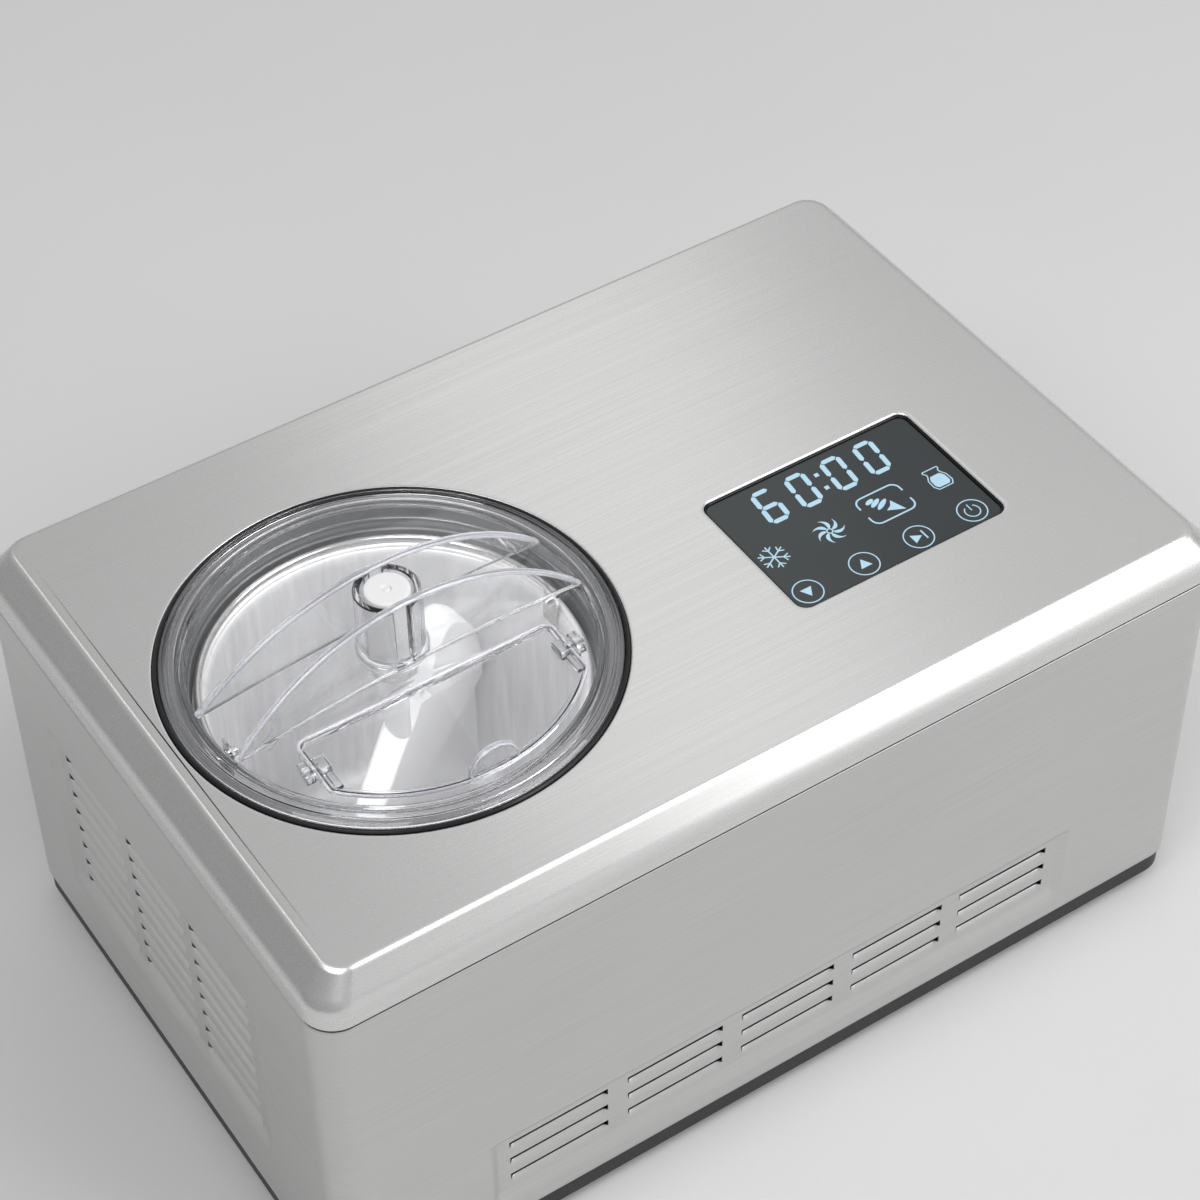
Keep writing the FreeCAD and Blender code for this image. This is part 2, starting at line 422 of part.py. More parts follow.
GZ = 11.2   # underside of the gearbox
CASE_X, CASE_HX = -60.75, 100.75
case_out = prism(CASE_HX, 61.0, 12.0, GZ, 43.0, CASE_X, AY)
case_in = prism(CASE_HX - 2.5, 58.5, 10.0, GZ + 2.5, 44.0, CASE_X, AY)
case = case_out.cut(case_in)
case = case.fuse(ring(8.5, 5.06, GZ + 2.4, 17.5, AX, AY)).fuse(cyl(7.0, GZ + 2.4, 17.0, IDLER_X, AY))
case = case.cut(cyl(3.99, 14.5, 20, IDLER_X, AY))
save(case.removeSplitter(), "gearbox_case")
gcov = prism(CASE_HX, 61.0, 12.0, 43.05, 46.0, CASE_X, AY)
gcov = gcov.fuse(cyl(6.5, 40.0, 43.1, IDLER_X, AY)).cut(cyl(3.99, 39, 45.0, IDLER_X, AY))
gcov = gcov.fuse(ring(9.0, 5.06, 40.5, 49.5, AX, AY)).cut(cyl(5.06, 39, 51, AX, AY)).cut(cyl(4.0, 40, 48, MOTOR_X, AY))
save(gcov.removeSplitter(), "gearbox_cover")
gs = None
for sx in (-1, 1):
    for sy in (-1, 1):
        x, y = CASE_X + sx * (CASE_HX - 7.5), AY + sy * 53.5
        s = cyl(3.0, 46.05, 48.0, x, y)
        gs = s if gs is None else gs.fuse(s)
save(gs, "gearbox_screws")
out_gear = gear(N_OUT, 28.0, 37.0, 0.0, AX, AY, 5.3).cut(ring(46.0, 16.0, 31.0, 38.0, AX, AY))
save(out_gear, "output_gear")
shaft = cyl(5.0, 14.3, 88.0, AX, AY).fuse(hexa(HEX_R, 88.0, 100.5)).fuse(ring(5.3, 0.1, 28.0, 37.0, AX, AY)).fuse(ring(8.0, 4.9, 25.6, 27.95, AX, AY))
save(shaft.removeSplitter(), "drive_shaft")
save(cyl(3.98, 14.6, 44.8, IDLER_X, AY), "idler_pin")
idl = gear(N_LARGE, 18.6, 24.6, 0.0, IDLER_X, AY, 4.05, 0.203, 0.8).fuse(gear(N_SMALL, 24.6, 38.0, 180.0 / N_SMALL, IDLER_X, AY, 4.05))
save(idl.removeSplitter(), "idler_gear")
save(gear(N_PINION, 17.6, 26.0, 180.0 / N_PINION, MOTOR_X, AY, 2.5, 0.195, 0.8), "motor_pinion")
rotor = cyl(2.48, 17.0, 106.0, MOTOR_X, AY).fuse(cyl(12.0, 62.0, 92.0, MOTOR_X, AY)).fuse(cyl(6.0, 93.0, 99.0, MOTOR_X, AY))
save(rotor.removeSplitter(), "motor_rotor")
can = ring(20.5, 12.8, 48.0, 104.0, MOTOR_X, AY).fuse(ring(20.5, 2.55, 46.1, 49.0, MOTOR_X, AY)).fuse(ring(20.5, 2.55, 103.0, 105.0, MOTOR_X, AY))
save(can.removeSplitter(), "motor_can")
save(ring(9.1, 5.06, 50.0, 63.2, AX, AY), "shaft_bush")
save(ring(8.4, 5.03, 63.25, 63.75, AX, AY), "shaft_seal")

# ---------------------------------------------------------------- refrigeration
CX, CY = 106.0, 66.0
shellc = cyl(50.0, 34.0, 96.0, CX, CY).fuse(Part.makeSphere(66.0, V(CX, CY, 53.0)).common(cyl(50.0, 95.9, 125.0, CX, CY))).fuse(Part.makeSphere(66.0, V(CX, CY, 77.0)).common(cyl(50.0, 10.0, 34.1, CX, CY)).common(box(0, 200, 0, 200, 24.0, 40.0)))
shellc = shellc.fuse(ring(51.5, 49.0, 68.0, 72.0, CX, CY))
save(shellc.removeSplitter(), "compressor")
bkt = prism(62.0, 52.0, 6.0, 19.0, 21.5, CX, CY)
for sx in (-1, 1):
    for sy in (-1, 1):
        bkt = bkt.cut(cyl(5.1, 18, 23, CX + sx * 54, CY + sy * 44))
bkt = bkt.fuse(ring(40.0, 34.0, 21.4, 26.5, CX, CY)).cut(shellc)
save(bkt.removeSplitter(), "compressor_bracket")
gr = None
for sx in (-1, 1):
    for sy in (-1, 1):
        x, y = CX + sx * 54, CY + sy * 44
        g = revolve([(2.6, 11.05), (8.5, 11.05), (8.5, 18.9), (5.0, 18.9), (5.0, 21.6), (7.0, 21.6), (7.0, 24.0), (2.6, 24.0)], x, y)
        gr = g if gr is None else gr.fuse(g)
save(gr, "compressor_grommets")
gb = None
for sx in (-1, 1):
    for sy in (-1, 1):
        x, y = CX + sx * 54, CY + sy * 44
        g = cyl(2.5, 11.05, 24.1, x, y).fuse(cyl(4.8, 24.1, 27.5, x, y))
        gb = g if gb is None else gb.fuse(g)
save(gb, "compressor_bolts")
save(prism(12.0, 16.0, 3.0, 70.5, 104.0, CX - 63.8, CY + 8.0), "start_relay")

# condenser: fin pack with a serpentine tube, fan frame and impeller in front of the right-hand louvres
FX, FY, FZ = 168.0, -52.0, 78.0
fins = []
for i in range(26):
    y = FY - 52 + i * 4.16
    fins.append(box(176.0, 200.0, y - 0.25, y + 0.25, 28.0, 130.0))
fin_shape = Part.makeCompound(fins)
tubes = None
rows = [38.0, 56.0, 74.0, 92.0, 110.0, 124.0]
pts_t = []
for i, z in enumerate(rows):
    t = rcyl(2.6, (188.0, FY - 58, z), (0, 1, 0), 116)
    tubes = t if tubes is None else tubes.fuse(t)
for i in range(len(rows) - 1):
    y = FY + 58 if i % 2 == 0 else FY - 58
    tubes = tubes.fuse(cyl(2.6, rows[i], rows[i + 1], 188.0, y)).fuse(Part.makeSphere(2.6, V(188.0, y, rows[i]))).fuse(Part.makeSphere(2.6, V(188.0, y, rows[i + 1])))
tubes = tubes.removeSplitter()
fin_cut = None
hole = None
for z in rows:
    h = rcyl(2.62, (188.0, FY - 70, z), (0, 1, 0), 140)
    hole = h if hole is None else hole.fuse(h)
save(Part.makeCompound([f.cut(hole) for f in fins]), "condenser_fins")
save(tubes, "condenser_tube")
fr = box(156.0, 174.0, FY - 46, FY + 46, FZ - 46, FZ + 46).cut(rcyl(43.0, (150.0, FY, FZ), (1, 0, 0), 30))
st = None
for a in (0, 90, 180, 270):
    b = box(156.0, 158.5, FY - 3, FY + 3, FZ + 17, FZ + 44)
    b.rotate(V(150, FY, FZ), V(1, 0, 0), a)
    fr = fr.fuse(b)
fr = fr.fuse(rcyl(19.0, (156.0, FY, FZ), (1, 0, 0), 4.0))
fr = fr.fuse(box(156.0, 174.0, FY - 20, FY + 20, 11.05, FZ - 44))
fr = fr.cut(rcyl(2.05, (150, FY, FZ), (1, 0, 0), 30))
save(fr.removeSplitter(), "fan_frame")
imp = rcyl(18.0, (160.5, FY, FZ), (1, 0, 0), 12.0)
for k in range(7):
    bl = box(161.0, 171.5, FY - 0.9, FY + 0.9, FZ + 16.0, FZ + 40.5)
    bl.rotate(V(166, FY, FZ + 28), V(0, 0, 1), 38)
    bl.rotate(V(150, FY, FZ), V(1, 0, 0), k * 360.0 / 7)
    imp = imp.fuse(bl)
imp = imp.fuse(rcyl(2.0, (156.5, FY, FZ), (1, 0, 0), 5.0))
save(imp.removeSplitter(), "fan_impeller")

# refrigerant lines with straight runs and tangent arcs
def pipe(pts, r, bend):
    e, prev = [], V(*pts[0])
    for i in range(1, len(pts) - 1):
        a, b, c = V(*pts[i - 1]), V(*pts[i]), V(*pts[i + 1])
        u, w = (a - b).normalize(), (c - b).normalize()
        th = u.getAngle(w)
        d = bend / math.tan(th / 2)
        p, q = b + u * d, b + w * d
        mid = b + (u + w).normalize() * (bend / math.sin(th / 2) - bend)
        e.append(Part.LineSegment(prev, p).toShape())
        e.append(Part.Arc(p, mid, q).toShape())
        prev = q
    e.append(Part.LineSegment(prev, V(*pts[-1])).toShape())
    w = Part.Wire(e)
    d0 = V(*pts[1]) - V(*pts[0])
    prof = Part.Wire([Part.makeCircle(r, V(*pts[0]), d0)])
    return w.makePipeShell([prof], True, False)

save(pipe([(AX + 80.4 + 3.5, AY, 178.0), (12.0, AY, 178.0), (12.0, 66.0, 178.0), (12.0, 66.0, 50.0), (55.7, 66.0, 50.0)], 3.0, 12.0), "suction_line")
save(pipe([(CX + 50.0, 60.0, 60.0), (188.0, 60.0, 60.0), (188.0, 60.0, 124.0), (188.0, 8.8, 124.0)], 2.6, 9.0), "discharge_line")
save(rcyl(8.0, (60.0, -24.0, 30.0), (1, 0, 0), 60.0).fuse(Part.makeCone(8.0, 2.6, 10.0, V(120.0, -24.0, 30.0), V(1, 0, 0))).fuse(Part.makeCone(8.0, 2.0, 10.0, V(60.0, -24.0, 30.0), V(-1, 0, 0))), "filter_drier")
save(pipe([(188.0, FY - 60.8, 38.0), (188.0, -128.0, 38.0), (140.0, -128.0, 30.0), (140.0, -24.0, 30.0), (130.2, -24.0, 30.0)], 2.3, 4.0), "liquid_line")

# power electronics
pb = box(52.0, 128.0, -122.0, -62.0, 24.0, 25.6)
for (x0, x1, y0, y1, h) in [(58, 82, -118, -94, 20), (90, 102, -116, -104, 24), (108, 122, -118, -100, 12), (60, 84, -84, -68, 14), (92, 120, -86, -70, 9)]:
    pb = pb.fuse(box(x0, x1, y0, y1, 25.6, 25.6 + h))
save(pb, "power_board")
so = None
for (x, y) in [(56, -118), (124, -118), (56, -66), (124, -66)]:
    s = cyl(3.0, 11.05, 23.95, x, y)
    so = s if so is None else so.fuse(s)
save(so, "board_standoffs")

for n, k, v, ok in SAVED:
    print("%-26s solids %2d  volume %10.0f  valid %s" % (n, k, v, ok))
print("nodes", len(SAVED))
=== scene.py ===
import bpy, bmesh, math, json
from mathutils import Vector, Matrix, Quaternion, geometry


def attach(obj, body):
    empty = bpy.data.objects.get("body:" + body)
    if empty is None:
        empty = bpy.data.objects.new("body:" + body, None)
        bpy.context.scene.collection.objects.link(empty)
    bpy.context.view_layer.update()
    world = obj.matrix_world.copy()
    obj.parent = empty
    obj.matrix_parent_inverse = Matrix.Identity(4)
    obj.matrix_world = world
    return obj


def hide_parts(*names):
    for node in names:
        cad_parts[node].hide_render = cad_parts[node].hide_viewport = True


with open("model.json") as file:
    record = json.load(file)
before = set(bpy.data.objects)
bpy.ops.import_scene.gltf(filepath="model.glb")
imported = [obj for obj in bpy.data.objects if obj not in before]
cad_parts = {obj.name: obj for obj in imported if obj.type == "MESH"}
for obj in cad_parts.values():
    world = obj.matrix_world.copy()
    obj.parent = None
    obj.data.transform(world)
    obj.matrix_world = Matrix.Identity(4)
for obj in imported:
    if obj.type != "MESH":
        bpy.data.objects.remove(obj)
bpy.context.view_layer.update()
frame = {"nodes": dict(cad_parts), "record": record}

nodes = frame["nodes"]
col = bpy.context.scene.collection
S = 0.001                      # shapes below are written in millimetres
HX, HY, RC = 212.5, 139.4, 14.0
THX, THY, TZ = 201.7, 131.8, 213.0
AX, AY = -102.2, -7.1          # bowl axis


# ------------------------------------------------------------------ mesh helpers
def make(name, verts, faces, mat, body, replaces=(), angle=38.0, merge=0.0):
    me = bpy.data.meshes.new(name)
    me.from_pydata([(x * S, y * S, z * S) for (x, y, z) in verts], [], faces)
    me.update()
    if merge:
        bm = bmesh.new(); bm.from_mesh(me)
        bmesh.ops.remove_doubles(bm, verts=bm.verts, dist=merge * S)
        bm.to_mesh(me); bm.free()
    me.validate()
    bm = bmesh.new(); bm.from_mesh(me)
    bmesh.ops.recalc_face_normals(bm, faces=bm.faces)
    bm.to_mesh(me); bm.free()
    me.shade_smooth()
    me.set_sharp_from_angle(angle=math.radians(angle))
    ob = bpy.data.objects.new(name, me)
    col.objects.link(ob)
    me.materials.append(mat)
    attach(ob, body)
    if replaces:
        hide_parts(*replaces)
    weigh(ob)
    return ob


def weigh(ob):
    """Big flat faces keep their own shading beside small rounded edges."""
    m = ob.modifiers.new("normals", "WEIGHTED_NORMAL")
    m.weight, m.keep_sharp = 50, True


def fillet2(pts, rad, n=5):
    """Rounds a closed 2-D polygon's corners. rad is one radius or one per corner."""
    out, m = [], len(pts)
    for i in range(m):
        p0, p, p1 = Vector(pts[i - 1]), Vector(pts[i]), Vector(pts[(i + 1) % m])
        r = rad[i] if isinstance(rad, (list, tuple)) else rad
        a, b = (p0 - p), (p1 - p)
        la, lb = a.length, b.length
        if r <= 0 or la < 1e-6 or lb < 1e-6:
            out.append((p.x, p.y)); continue
        a, b = a / la, b / lb
        th = math.acos(max(-1, min(1, a.dot(b))))
        if th > math.radians(176) or th < math.radians(4):
            out.append((p.x, p.y)); continue
        d = min(r / math.tan(th / 2), la * 0.48, lb * 0.48)
        rr = d * math.tan(th / 2)
        c = p + (a + b).normalized() * (rr / math.sin(th / 2))
        s, e = p + a * d, p + b * d
        a0, a1 = math.atan2(s.y - c.y, s.x - c.x), math.atan2(e.y - c.y, e.x - c.x)
        da = (a1 - a0 + math.pi) % (2 * math.pi) - math.pi
        for k in range(n + 1):
            t = a0 + da * k / n
            out.append((c.x + rr * math.cos(t), c.y + rr * math.sin(t)))
    return out


def lathe(name, prof, mat, body, replaces=(), segs=192, cx=AX, cy=AY, angle=38.0, close=True):
    verts, faces, n = [], [], len(prof)
    for k in range(segs):
        a = 2 * math.pi * k / segs
        c, s = math.cos(a), math.sin(a)
        for (r, z) in prof:
            verts.append((cx + r * c, cy + r * s, z))
    for k in range(segs):
        k1 = (k + 1) % segs
        for i in range(n if close else n - 1):
            j = (i + 1) % n
            faces.append((k * n + i, k1 * n + i, k1 * n + j, k * n + j))
    return make(name, verts, faces, mat, body, replaces, angle, merge=0.001)


def rrect(hx, hy, r, cx=0.0, cy=0.0, n=10):
    pts = []
    for (sx, sy, a0) in ((1, 1, 0), (-1, 1, 90), (-1, -1, 180), (1, -1, 270)):
        for k in range(n + 1):
            a = math.radians(a0 + 90.0 * k / n)
            pts.append((cx + sx * (hx - r) + r * math.cos(a), cy + sy * (hy - r) + r * math.sin(a)))
    return pts


def rings(name, loops, mat, body, cap0=False, cap1=False, replaces=(), angle=38.0):
    n = len(loops[0])
    verts = [p for lp in loops for p in lp]
    faces = []
    for j in range(len(loops) - 1):
        for i in range(n):
            i1 = (i + 1) % n
            faces.append((j * n + i, j * n + i1, (j + 1) * n + i1, (j + 1) * n + i))
    if cap0:
        faces.append(tuple(range(n))[::-1])
    if cap1:
        faces.append(tuple((len(loops) - 1) * n + i for i in range(n)))
    return make(name, verts, faces, mat, body, replaces, angle)


def extrude(name, poly, fn0, fn1, mat, body, replaces=(), bevel=0.0, seg=2, angle=38.0):
    """Solid between two copies of a 2-D outline. fn0 and fn1 place a 2-D point in space."""
    n = len(poly)
    verts = [fn0(*p) for p in poly] + [fn1(*p) for p in poly]
    faces = [tuple(range(n))[::-1], tuple(range(n, 2 * n))]
    faces += [(i, (i + 1) % n, n + (i + 1) % n, n + i) for i in range(n)]
    ob = make(name, verts, faces, mat, body, replaces, angle)
    if bevel:
        ob.modifiers.clear()
        add_bevel(ob, bevel, seg)
        weigh(ob)
    return ob


def bake(ob, angle):
    """Turns the modifiers into plain mesh, then marks the sharp edges."""
    for m in [m for m in ob.modifiers if m.type == "WEIGHTED_NORMAL"]:
        ob.modifiers.remove(m)
    dg = bpy.context.evaluated_depsgraph_get()
    dg.update()
    me = bpy.data.meshes.new_from_object(ob.evaluated_get(dg))
    ob.modifiers.clear()
    ob.data = me
    me.shade_smooth()
    me.set_sharp_from_angle(angle=math.radians(angle))
    weigh(ob)
    return ob


def add_bevel(ob, w, seg=2, ang=30):
    m = ob.modifiers.new("bevel", "BEVEL")
    m.width, m.segments, m.limit_method, m.angle_limit = w * S, seg, "ANGLE", math.radians(ang)
    return m


def plate(name, outline, holes, zfn, extra, mat, body, thick=0.0, replaces=(), angle=38.0):
    """Sheet over a flat region with holes, lifted to z = zfn(x, y). extra: inner points for a smooth curve."""
    pts, edges = [], []
    for lp in [outline] + holes:
        b = len(pts)
        pts += [Vector(p) for p in lp]
        edges += [(b + i, b + (i + 1) % len(lp)) for i in range(len(lp))]
    pts += [Vector(p) for p in extra]
    vs, es, fs, *_ = geometry.delaunay_2d_cdt(pts, edges, [], 0, 1e-5)

    def inside(p, lp):
        c, n = False, len(lp)
        for i in range(n):
            (x0, y0), (x1, y1) = lp[i], lp[(i + 1) % n]
            if (y0 > p[1]) != (y1 > p[1]) and p[0] < (x1 - x0) * (p[1] - y0) / (y1 - y0) + x0:
                c = not c
        return c
    keep = []
    for f in fs:
        c = (sum(vs[i][0] for i in f) / len(f), sum(vs[i][1] for i in f) / len(f))
        if inside(c, outline) and not any(inside(c, h) for h in holes):
            keep.append(tuple(f))
    used = sorted({i for f in keep for i in f})
    ix = {o: k for k, o in enumerate(used)}
    verts = [(vs[i][0], vs[i][1], zfn(vs[i][0], vs[i][1])) for i in used]
    ob = make(name, verts, [tuple(ix[i] for i in f) for f in keep], mat, body, replaces, angle)
    me = ob.data
    if me.polygons and sum(p.normal.z for p in me.polygons) < 0:
        me.flip_normals()
    if thick:
        m = ob.modifiers.new("sheet", "SOLIDIFY")
        m.thickness, m.offset = thick * S, -1.0
        bake(ob, angle)
    return ob


def join(obs, name):
    """Joins meshes (modifiers applied) into one piece; it keeps the first one's material order."""
    dg = bpy.context.evaluated_depsgraph_get()
    bm = bmesh.new()
    mats = []
    for o in obs:
        me = bpy.data.meshes.new_from_object(o.evaluated_get(dg))
        base = len(mats)
        for m in o.data.materials:
            if m not in mats:
                mats.append(m)
        idx = [mats.index(m) for m in o.data.materials]
        for p in me.polygons:
            p.material_index = idx[p.material_index] if idx else 0
        bm.from_mesh(me)
        bpy.data.meshes.remove(me)
    me = bpy.data.meshes.new(name)
    bm.to_mesh(me); bm.free()
    for m in mats:
        me.materials.append(m)
    return me


# ------------------------------------------------------------------ materials
def new_mat(name):
    m = bpy.data.materials.new(name)
    m.use_nodes = True
    nt = m.node_tree
    nt.nodes.clear()
    out = nt.nodes.new("ShaderNodeOutputMaterial")
    return m, nt, out


def N(nt, kind, **kw):
    n = nt.nodes.new(kind)
    for k, v in kw.items():
        if k in n.inputs:
            n.inputs[k].default_value = v
        else:
            setattr(n, k, v)
    return n


def L(nt, a, b):
    nt.links.new(a, b)


def ramp(nt, src, stops):
    r = nt.nodes.new("ShaderNodeValToRGB")
    e = r.color_ramp.elements
    while len(e) < len(stops):
        e.new(0.5)
    for i, (p, c) in enumerate(stops):
        e[i].position = p
        e[i].color = (c, c, c, 1) if isinstance(c, (int, float)) else (*c, 1)
    L(nt, src, r.inputs["Fac"])
    return r.outputs["Color"]


def noise(nt, coord, scale_vec, scale=1.0, detail=3.0, rough=0.6, seed=(0, 0, 0)):
    mp = nt.nodes.new("ShaderNodeMapping")
    mp.inputs["Scale"].default_value = scale_vec
    mp.inputs["Location"].default_value = seed
    L(nt, coord, mp.inputs["Vector"])
    n = N(nt, "ShaderNodeTexNoise", Scale=scale, Detail=detail, Roughness=rough)
    L(nt, mp.outputs["Vector"], n.inputs["Vector"])
    return n.outputs["Fac"]


def mixv(nt, a, b, fac=0.5, mode="MIX"):
    m = nt.nodes.new("ShaderNodeMix")
    m.data_type, m.blend_type = "RGBA", mode
    m.inputs[0].default_value = fac
    L(nt, a, m.inputs[6]); L(nt, b, m.inputs[7])
    return m.outputs[2]


def brushed(name, grain, base=(0.72, 0.72, 0.715), rough=(0.24, 0.32), bump=0.05, aniso=0.55, tangent=(1, 0, 0)):
    """Brushed stainless steel. grain: scale of the streaks along x, y, z, per metre."""
    m, nt, out = new_mat(name)
    tc = nt.nodes.new("ShaderNodeTexCoord")
    o = tc.outputs["Object"]
    fine = noise(nt, o, grain, 1.0, 4.0, 0.65)
    wide = noise(nt, o, tuple(g * 0.4 for g in grain), 1.0, 3.0, 0.55, (3.1, 1.7, 0.4))
    cloud = noise(nt, o, (7, 9, 9), 1.0, 2.0, 0.5, (0.3, 2.1, 5.0))
    both = mixv(nt, fine, wide, 0.3)
    b = N(nt, "ShaderNodeBsdfPrincipled", Metallic=1.0, Anisotropic=aniso)
    c0, c1 = tuple(x * 0.93 for x in base), tuple(min(1, x * 1.05) for x in base)
    colr = ramp(nt, both, [(0.30, c0), (0.68, c1)])
    tint = ramp(nt, cloud, [(0.30, 0.97), (0.70, 1.0)])
    L(nt, mixv(nt, colr, tint, 1.0, "MULTIPLY"), b.inputs["Base Color"])
    L(nt, ramp(nt, both, [(0.25, rough[1]), (0.75, rough[0])]), b.inputs["Roughness"])
    bp = N(nt, "ShaderNodeBump", Strength=bump, Distance=0.0002)
    L(nt, both, bp.inputs["Height"])
    L(nt, bp.outputs["Normal"], b.inputs["Normal"])
    if tangent is not None:
        tv = nt.nodes.new("ShaderNodeCombineXYZ")
        for i in range(3):
            tv.inputs[i].default_value = tangent[i]
        L(nt, tv.outputs[0], b.inputs["Tangent"])
    L(nt, b.outputs[0], out.inputs["Surface"])
    return m


def plastic(name, c, rough=0.45, grain=900.0, bump=0.08, var=0.12, spec=0.5, sss=0.0, coat=0.0):
    m, nt, out = new_mat(name)
    tc = nt.nodes.new("ShaderNodeTexCoord")
    o = tc.outputs["Object"]
    fine = noise(nt, o, (grain,) * 3, 1.0, 2.0, 0.5)
    wide = noise(nt, o, (14, 14, 14), 1.0, 3.0, 0.5, (1.2, 0.4, 2.0))
    b = N(nt, "ShaderNodeBsdfPrincipled")
    b.inputs["Specular IOR Level"].default_value = spec
    if sss:
        b.inputs["Subsurface Weight"].default_value = sss
        b.inputs["Subsurface Radius"].default_value = (0.004, 0.004, 0.0035)
    if coat:
        b.inputs["Coat Weight"].default_value = coat
        b.inputs["Coat Roughness"].default_value = 0.06
    c0, c1 = tuple(x * (1 - var) for x in c), tuple(min(1, x * (1 + var)) for x in c)
    L(nt, ramp(nt, wide, [(0.3, c0), (0.7, c1)]), b.inputs["Base Color"])
    L(nt, ramp(nt, fine, [(0.3, rough * 1.12), (0.7, rough * 0.88)]), b.inputs["Roughness"])
    bp = N(nt, "ShaderNodeBump", Strength=bump, Distance=0.0002)
    L(nt, fine, bp.inputs["Height"]); L(nt, bp.outputs["Normal"], b.inputs["Normal"])
    L(nt, b.outputs[0], out.inputs["Surface"])
    return m


def metal(name, c, rough=0.3, grain=(500, 500, 500), bump=0.05, metallic=1.0):
    m, nt, out = new_mat(name)
    tc = nt.nodes.new("ShaderNodeTexCoord")
    o = tc.outputs["Object"]
    fine = noise(nt, o, grain, 1.0, 3.0, 0.6)
    b = N(nt, "ShaderNodeBsdfPrincipled", Metallic=metallic)
    L(nt, ramp(nt, fine, [(0.3, tuple(x * 0.9 for x in c)), (0.7, tuple(min(1, x * 1.08) for x in c))]), b.inputs["Base Color"])
    L(nt, ramp(nt, fine, [(0.3, rough * 1.2), (0.7, rough * 0.85)]), b.inputs["Roughness"])
    bp = N(nt, "ShaderNodeBump", Strength=bump, Distance=0.0002)
    L(nt, fine, bp.inputs["Height"]); L(nt, bp.outputs["Normal"], b.inputs["Normal"])
    L(nt, b.outputs[0], out.inputs["Surface"])
    return m


def clear(name, tint=(0.985, 0.987, 0.995), rough=(0.012, 0.03), ior=1.47, painted_edge_glint=0.0, painted_edge_glint_col=(0.90, 0.90, 0.97)):
    """Clear moulded acrylic: it bends and mirrors what is seen through it, and lets the lamps through."""
    m, nt, out = new_mat(name)
    tc = nt.nodes.new("ShaderNodeTexCoord")
    wav = noise(nt, tc.outputs["Object"], (22, 22, 22), 1.0, 2.0, 0.5)
    b = N(nt, "ShaderNodeBsdfPrincipled")
    b.inputs["Transmission Weight"].default_value = 1.0
    b.inputs["IOR"].default_value = ior
    L(nt, ramp(nt, wav, [(0.3, tuple(x * 0.99 for x in tint)), (0.7, tint)]), b.inputs["Base Color"])
    L(nt, ramp(nt, wav, [(0.3, rough[0]), (0.7, rough[1])]), b.inputs["Roughness"])
    tr = nt.nodes.new("ShaderNodeBsdfTransparent")
    tr.inputs["Color"].default_value = (0.99, 0.99, 0.99, 1)
    lp = nt.nodes.new("ShaderNodeLightPath")
    mx = nt.nodes.new("ShaderNodeMath")
    mx.operation = "MAXIMUM"
    L(nt, lp.outputs["Is Shadow Ray"], mx.inputs[0]); L(nt, lp.outputs["Is Diffuse Ray"], mx.inputs[1])
    body = b.outputs[0]
    # painted highlight: a whitish diffuse share mixed into the clear body stands in for the bright refracted edges of
    # the mouldings
    if painted_edge_glint:
        df = N(nt, "ShaderNodeBsdfPrincipled", Roughness=0.25)
        df.inputs["Base Color"].default_value = (*painted_edge_glint_col, 1)
        mk = nt.nodes.new("ShaderNodeMixShader")
        L(nt, ramp(nt, wav, [(0.3, painted_edge_glint * 0.85), (0.7, painted_edge_glint * 1.1)]), mk.inputs[0])
        L(nt, b.outputs[0], mk.inputs[1]); L(nt, df.outputs[0], mk.inputs[2])
        body = mk.outputs[0]
    ms = nt.nodes.new("ShaderNodeMixShader")
    L(nt, mx.outputs[0], ms.inputs[0]); L(nt, body, ms.inputs[1]); L(nt, tr.outputs[0], ms.inputs[2])
    L(nt, ms.outputs[0], out.inputs["Surface"])
    return m


M_TOP = brushed("steel_top", (6, 1500, 1500), rough=(0.24, 0.32), aniso=0.7, tangent=(0, 1, 0))
M_BODY = brushed("steel_body", (14, 14, 1700), rough=(0.30, 0.38), bump=0.03, tangent=None, aniso=0.0, base=(0.60, 0.60, 0.595))
M_BASE = plastic("base_plastic", (0.0100, 0.0100, 0.0110), 0.5, 1400)
M_RUBBER = plastic("rubber", (0.018, 0.018, 0.018), 0.75, 1600, 0.15)
M_TRIM = plastic("trim_gloss_black", (0.006, 0.006, 0.007), 0.24, 700, 0.02, 0.2, 0.3)
M_COLLAR = plastic("collar_grey", (0.075, 0.078, 0.083), 0.34, 900, 0.05)
M_BOWL = metal("bowl_satin", (0.82, 0.82, 0.825), 0.42, (260, 260, 20), 0.03, 0.40)
M_BEAD = metal("bowl_bead", (0.74, 0.71, 0.66), 0.16, (200, 200, 60), 0.02)
M_WIRE = metal("bail_wire", (0.72, 0.71, 0.70), 0.12, (300, 300, 300), 0.02)
M_WHITE = plastic("paddle_white", (0.86, 0.86, 0.865), 0.34, 500, 0.03, 0.02, 0.5, 0.25)
M_CAP = plastic("cap_white", (0.60, 0.60, 0.605), 0.42, 500, 0.03, 0.02, 0.35, 0.2)
M_CLEAR = clear("lid_clear")
M_RIM = clear("lid_rim_clear", (0.975, 0.977, 0.992), (0.02, 0.05))
# edge and bead mouldings: clear acrylic with a painted highlight, a whitish diffuse share in place of their bright
# refracted edges
M_EDGE = clear("lid_edge_clear_painted_glint", (0.975, 0.977, 0.995), (0.03, 0.07), painted_edge_glint=0.16)
M_SEAL = plastic("seal_silicone", (0.12, 0.12, 0.125), 0.35, 700, 0.05, 0.05, 0.5)
M_GLASS = plastic("display_dark", (0.030, 0.034, 0.036), 0.12, 60, 0.005, 0.04, 0.30)
M_BEZEL = metal("bezel_polished", (0.72, 0.72, 0.72), 0.14, (300, 300, 300), 0.02)


